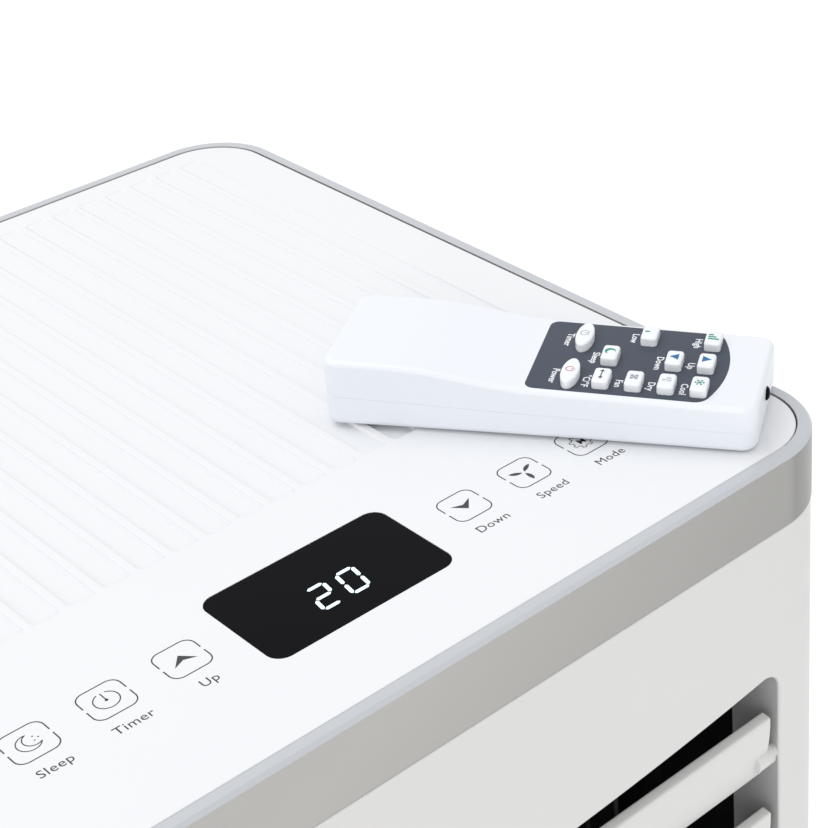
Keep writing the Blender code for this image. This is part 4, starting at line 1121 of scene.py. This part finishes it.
def handset_bottom(x):
    floor = -(HANDSET_AT.z - PANEL_TOP - GAP) + x * math.tan(HANDSET_PITCH)
    share = (x - HANDSET_GRIP) / (HANDSET_NOSE - HANDSET_GRIP)
    return floor + 0.4 * MM * math.sin(math.pi * min(max(share, 0.0), 1.0))


def handset_loop(inset, steps=8, along=26):
    """Plan outline with points spread along its long sides."""
    half, wide = (HANDSET_NOSE - HANDSET_GRIP) / 2 - inset, HANDSET_WIDE / 2 - inset
    middle = (HANDSET_NOSE + HANDSET_GRIP) / 2
    radius = max(HANDSET_CORNER - inset, 0.5 * MM)
    reach = half - radius
    points = []
    for corner, (side_x, side_y) in enumerate(((1, 1), (-1, 1), (-1, -1), (1, -1))):
        centre = (middle + side_x * reach, side_y * (wide - radius))
        points += arc(centre, radius, 90 * corner, 90 * corner + 90, steps)
        if corner in (0, 2):
            points += [
                (middle + side_x * (reach - 2 * reach * i / along), side_y * wide)
                for i in range(1, along)
            ]
    return points


def shell_half(surface, way, seam, fillet):
    """Half of the handset: an outer skin with a rounded edge, hollow inside, cut at the seam.

    surface gives the outer face's height at x; way is +1 for the top half.
    """
    def follow(inset, drop=0.0):
        return [(x, y, surface(x) - way * drop) for x, y in handset_loop(inset)]

    bm = bmesh.new()
    steps, wall, middle, corner = 7, HANDSET_WALL, HANDSET_WIDE / 2 - 0.6 * MM, 1.2 * MM
    outer = [level(handset_loop(0.06 * MM), seam), level(handset_loop(0.0), seam + way * 0.15 * MM)]
    for i in range(steps + 1):
        angle = math.pi / 2 * i / steps
        outer.append(follow(fillet * (1 - math.cos(angle)), fillet * (1 - math.sin(angle))))
    outer += [follow(fillet + (HANDSET_WIDE / 2 - fillet - 0.6 * MM) * i / 6) for i in range(1, 7)]
    inner = [level(handset_loop(wall), seam), follow(wall, wall + corner), follow(wall + corner, wall),
             follow(middle, wall)]
    skins = [skin(bm, outer)]
    close_strip(bm, skins[0][-1])
    skins.append(skin(bm, inner))
    close_strip(bm, skins[1][-1])
    bridge(bm, skins[0][0], skins[1][0])
    return bm


def close_strip(bm, ring):
    """Closes a long thin loop across its width, so that the face follows the curve."""
    count = len(ring)
    half = count // 2
    for i in range(half - 1):
        first, second = ring[i], ring[i + 1]
        third, fourth = ring[count - 2 - i], ring[count - 1 - i]
        if len({first, second, third, fourth}) == 4:
            bm.faces.new((first, second, third, fourth))


def carved(bm, *builders, operation="DIFFERENCE"):
    """The shape with each builder's shape taken out of it, or only what it shares with them."""
    base = linked("carved_base", bm)
    helpers = [base]
    for i, build in enumerate(builders):
        shape = bmesh.new()
        build(shape)
        helpers.append(linked(f"carving_tool_{i}", shape))
        cut = base.modifiers.new(f"cut_{i}", "BOOLEAN")
        cut.operation = operation
        cut.solver = "EXACT"
        cut.object = helpers[-1]
    bpy.context.view_layer.update()
    evaluated = base.evaluated_get(bpy.context.evaluated_depsgraph_get())
    result = bmesh.new()
    result.from_mesh(evaluated.to_mesh())
    evaluated.to_mesh_clear()
    for obj in helpers:
        bpy.data.objects.remove(obj, do_unlink=True)
    return result


def keypad_outline(margin=0.0):
    """Slate key field: square end towards the grip, bowed end towards the lamp."""
    left, tip, half, bow = -4.8 * MM - margin, 54.7 * MM + margin, 20.4 * MM + margin, 5 * MM
    small, large = 3 * MM, 4.5 * MM
    sweep = (half * half + bow * bow) / (2 * bow)
    reach = math.sqrt((sweep - large) ** 2 - (half - large) ** 2)
    turn = math.degrees(math.atan2(half - large, reach))
    middle = tip - sweep
    points = arc((middle, 0.0), sweep, -turn, turn, 14)[1:-1]
    points += arc((middle + reach, half - large), large, turn, 90, 8)
    points += arc((left + small, half - small), small, 90, 180, 8)
    points += arc((left + small, small - half), small, 180, 270, 8)
    return points + arc((middle + reach, large - half), large, 270, 360 - turn, 8)


def key_outline(row, column, oval, margin=0.0):
    x, y = FIRST_ROW - row * KEY_ROW, column * KEY_COLUMN
    if oval:
        half_a, half_b = 2.8 * MM + margin, 7 * MM + margin
        turns = [2 * math.pi * i / 40 for i in range(40)]
        return [(x + half_a * math.cos(t), y + half_b * math.sin(t)) for t in turns]
    wide, deep = 5.2 * MM + 2 * margin, 8.2 * MM + 2 * margin
    return rounded_rect(wide, deep, max(1.2 * MM + margin, 0.15 * MM), 6, (x, y))


def lower_shell():
    return shell_half(handset_bottom, -1, HANDSET_SEAM - 0.02 * MM, 2.2 * MM)


def hatch_span(slack):
    """The block that parts the battery cover from the lower shell, open to the grip end."""
    def build(bm):
        far, half = HANDSET_GRIP - 10 * MM, HATCH_HALF - slack
        outline = rectangle(far, HATCH_END - slack, -half, half)
        prism(bm, outline, -30 * MM, HATCH_TOP - slack)
    return build


def lamp_hole(bm):
    turned(bm, [(LAMP_R + 0.1 * MM, HANDSET_NOSE - 6 * MM), (LAMP_R + 0.1 * MM, HANDSET_NOSE + 4 * MM)],
           "X", LAMP_AT, 36)


def build_handset_shells():
    def pocket(bm):
        prism(bm, keypad_outline(0.12 * MM), -0.55 * MM, 10 * MM)

    def key_wells(bm):
        for _, row, column, oval, _ in KEYS:
            prism(bm, key_outline(row, column, oval, 0.25 * MM), -6 * MM, 0.0)

    top = shell_half(handset_top, 1, HANDSET_SEAM + 0.02 * MM, 1.8 * MM)
    piece("handset_upper", carved(top, pocket, key_wells, lamp_hole), "remote_top", matrix=HANDSET)
    bottom = carved(lower_shell(), hatch_span(0.0), lamp_hole)
    piece("handset_lower", bottom, "remote_bottom", matrix=HANDSET)


def build_battery_cover():
    """The part of the lower shell that slides off, with thumb ridges."""
    bm = carved(lower_shell(), hatch_span(0.2 * MM), operation="INTERSECT")
    for i in range(5):
        x = -14 * MM - i * 2.2 * MM
        low = handset_bottom(x)
        ridge = rounded_rect(1.0 * MM, 12 * MM, 0.45 * MM, 4, (x, 0.0))
        prism(bm, ridge, low - 0.2 * MM, low + 0.6 * MM)
    piece("battery_hatch", bm, "battery_cover", matrix=HANDSET)


def build_keypad_plate():
    bm = bmesh.new()
    levels = mm(-0.5, 0.06)
    loops = []
    for z in levels:
        rings = [ring_of(bm, level(keypad_outline(), z))]
        for _, row, column, oval, _ in KEYS:
            rings.append(ring_of(bm, level(key_outline(row, column, oval, 0.12 * MM), z)))
        fill(bm, rings, (0, 0, 1))
        loops.append(rings)
    for first, second in zip(*loops):
        bridge(bm, first, second)
    piece("keypad_face", bm, "keypad_plate", matrix=HANDSET)


def key_plane(row, column, height):
    """Plane on a key's top or beside it: text runs towards -Y and its top points to +X."""
    place = Matrix.Translation((FIRST_ROW - row * KEY_ROW, column * KEY_COLUMN, height))
    return place @ Matrix.Rotation(math.radians(-90), 4, "Z")


def bars_icon(count):
    """Upright bars that grow towards the right."""
    def draw(bm, matrix):
        for i in range(count):
            tall = (1.5 + 0.95 * i) * MM
            a = (-0.5 * (count - 1) + i) * 1.25 * MM
            slab(bm, rounded_rect(0.72 * MM, tall, 0.1 * MM, 2, (a, tall / 2 - 1.6 * MM)), matrix)
    return draw


def triangle_icon(way):
    def draw(bm, matrix):
        slab(bm, [(-1.7 * MM, -1.3 * MM * way), (1.7 * MM, -1.3 * MM * way), (0.0, 1.5 * MM * way)], matrix)
    return draw


def small_moon(bm, matrix):
    slab(bm, crescent(1.7 * MM), matrix @ Matrix.Rotation(math.radians(35), 4, "Z"))


def double_arrow(bm, matrix):
    stroke(bm, [(-1.9 * MM, 0.0), (1.9 * MM, 0.0)], 0.34 * MM, matrix)
    for side in (-1, 1):
        root = side * 1.6 * MM
        slab(bm, [(side * 2.6 * MM, 0.0), (root, 0.75 * MM), (root, -0.75 * MM)], matrix)


def small_fan(bm, matrix):
    for turn in range(4):
        a = math.radians(45 + 90 * turn)
        slab(bm, circle(0.58 * MM, (1.0 * MM * math.cos(a), 1.0 * MM * math.sin(a)), 14), matrix)
    slab(bm, circle(0.4 * MM, (0, 0), 12), matrix)


def drops_icon(bm, matrix):
    for a, b, size in ((-0.9, 0.3, 0.9), (0.5, 0.6, 0.75), (0.2, -0.9, 0.8)):
        outline = arc((a * MM, b * MM), 0.5 * size * MM, 150, 390, 10)
        stroke(bm, outline + [(a * MM, (b + 1.15 * size) * MM)], 0.18 * MM, matrix, closed=True)


def snowflake(bm, matrix):
    for turn in range(3):
        a = math.radians(60 * turn + 30)
        way = Vector((math.cos(a), math.sin(a)))
        stroke(bm, [tuple(-way * 1.5 * MM), tuple(way * 1.5 * MM)], 0.26 * MM, matrix)
        for side in (-1, 1):
            tip = way * side * 0.95 * MM
            for lean in (-35, 35):
                b = a + math.radians(lean) + (math.pi if side < 0 else 0)
                end = tip + Vector((math.cos(b), math.sin(b))) * 0.6 * MM
                stroke(bm, [tuple(tip), tuple(end)], 0.2 * MM, matrix)


def small_clock(bm, matrix):
    clock_icon(bm, matrix, 1.35 * MM, 0.26 * MM)


def small_power(bm, matrix):
    power_icon(bm, matrix, 1.3 * MM, 0.3 * MM)


KEY_ICONS = {
    "key_high": (bars_icon(3), GREEN), "key_up": (triangle_icon(1), BLUE), "key_cool": (snowflake, GREEN),
    "key_down": (triangle_icon(-1), BLUE), "key_dry": (drops_icon, SOFT_GREY),
    "key_low": (bars_icon(1), GREEN), "key_fan": (small_fan, SOFT_GREY), "key_sleep": (small_moon, GREEN),
    "key_unit": (double_arrow, INK), "key_timer": (small_clock, SOFT_GREY), "key_power": (small_power, RED),
}


def build_keys():
    for node, row, column, oval, _ in KEYS:
        bm = bmesh.new()
        steps = [(0.0, KEY_FOOT), (0.0, KEY_TOP - 0.9 * MM)]
        for i in range(1, 6):
            angle = math.pi / 2 * i / 5
            rise = KEY_TOP - 0.9 * MM + 0.8 * MM * math.sin(angle)
            steps.append((-0.8 * MM * (1 - math.cos(angle)), rise))
        outlines = [level(key_outline(row, column, oval, margin), z) for margin, z in steps]
        x, y = FIRST_ROW - row * KEY_ROW, column * KEY_COLUMN
        edge = key_outline(row, column, oval, -0.8 * MM)
        for share, z in ((0.6, KEY_TOP - 0.03 * MM), (0.25, KEY_TOP)):
            outlines.append([(x + (a - x) * share, y + (b - y) * share, z) for a, b in edge])
        loft(bm, outlines)
        piece(f"{node}_cap", bm, node, matrix=HANDSET)
        icon, ink = KEY_ICONS[node]
        bm = bmesh.new()
        icon(bm, key_plane(row, column, KEY_TOP + 0.01 * MM))
        piece(f"{node}_icon", bm, node, ink, matrix=HANDSET)


def build_key_labels():
    bm = bmesh.new()
    capital = 2.3 * MM
    for _, row, column, oval, label in KEYS:
        drop = (2.8 if oval else 2.6) * MM + 1.0 * MM + capital
        plane = key_plane(row, column, 0.07 * MM) @ Matrix.Translation((0.0, -drop, 0.0))
        lettering(bm, label, capital, plane, 0.02 * MM, 1.0, 0.05 * MM)
    piece("key_labels", bm, "keypad_plate", LABEL, matrix=HANDSET)


def build_lamp_window():
    """The dark dome over the sending lamp in the end face."""
    bm = bmesh.new()
    start = HANDSET_NOSE + 0.1 * MM
    steps = [(LAMP_R, HANDSET_NOSE - 3.5 * MM)]
    for i in range(8):
        turn = math.radians(12 * i)
        steps.append((LAMP_R * math.cos(turn), start + 1.1 * MM * math.sin(turn)))
    turned(bm, steps, "X", LAMP_AT, 40)
    piece("lamp_window", bm, "ir_window", matrix=HANDSET)


# ---------------------------------------------------------------- frame nodes that stay as they are

def finish_frame_nodes():
    """Every node of the frame gets the material of its slot in the record."""
    for name, obj in frame["nodes"].items():
        obj.data.materials.clear()
        obj.data.materials.append(SLOT_FINISH[SLOTS[name]])


# ---------------------------------------------------------------- stage

def build_stage():
    bm = bmesh.new()
    prism(bm, rounded_rect(30.0, 30.0, 14.0, 24), -0.02, 0.0)
    floor = linked("floor", bm)
    floor_finish = moulded("floor_white", (0.98, 0.98, 0.98), 0.8, 0.004, 20.0, 0.01, specular=0.1)
    shader = tree_of(floor_finish)[1]
    shader.inputs["Emission Color"].default_value = (1.0, 1.0, 1.0, 1.0)
    shader.inputs["Emission Strength"].default_value = 0.05
    floor.data.materials.append(floor_finish)

    world = bpy.data.worlds.new("studio")
    world.use_nodes = True
    background = world.node_tree.nodes["Background"]
    background.inputs["Color"].default_value = (0.985, 0.99, 1.0, 1.0)
    background.inputs["Strength"].default_value = 0.9
    bpy.context.scene.world = world


def build_lights():
    for name, place, size, power in LIGHTS:
        light = bpy.data.lights.new(name, "AREA")
        light.shape = "DISK"
        light.size = size
        light.energy = power
        obj = bpy.data.objects.new(name, light)
        obj.location = place
        way = Vector(LIGHT_TARGET) - Vector(place)
        obj.rotation_euler = way.to_track_quat("-Z", "Y").to_euler()
        bpy.context.scene.collection.objects.link(obj)


def build_camera():
    """The viewpoint: in front, to the left and above, rolled a little about its own axis."""
    azimuth, elevation, roll = (math.radians(angle) for angle in (AZIMUTH, ELEVATION, ROLL))
    forward = Vector((
        math.sin(azimuth) * math.cos(elevation), math.cos(azimuth) * math.cos(elevation),
        -math.sin(elevation),
    ))
    right = Vector((math.cos(azimuth), -math.sin(azimuth), 0.0))
    up = right.cross(forward)
    across = right * math.cos(roll) + up * math.sin(roll)
    upward = up * math.cos(roll) - right * math.sin(roll)
    turn = Matrix((across, upward, -forward)).transposed()
    camera = bpy.data.cameras.new("camera")
    camera.sensor_width = 36.0
    camera.lens = LENS
    camera.shift_x, camera.shift_y = LENS_SHIFT
    camera.clip_start, camera.clip_end = 0.01, 100.0
    obj = bpy.data.objects.new("camera", camera)
    obj.matrix_world = Matrix.Translation(CAMERA_AT) @ turn.to_4x4()
    bpy.context.scene.collection.objects.link(obj)
    bpy.context.scene.camera = obj


def main():
    finish_frame_nodes()
    build_camera()
    build_stage()
    build_lights()
    build_trim_band()
    build_front_cover()
    build_rear_cover()
    build_handles()
    build_top_panel()
    build_panel_print()
    build_display_digits()
    build_louvers()
    build_vanes()
    build_base()
    build_exhaust_collar()
    build_drain_plug()
    build_air_filter()
    build_casters()
    build_handset_shells()
    build_battery_cover()
    build_keypad_plate()
    build_key_labels()
    build_keys()
    build_lamp_window()
    bpy.context.scene.view_settings.view_transform = "Standard"
    bpy.context.view_layer.update()


main()
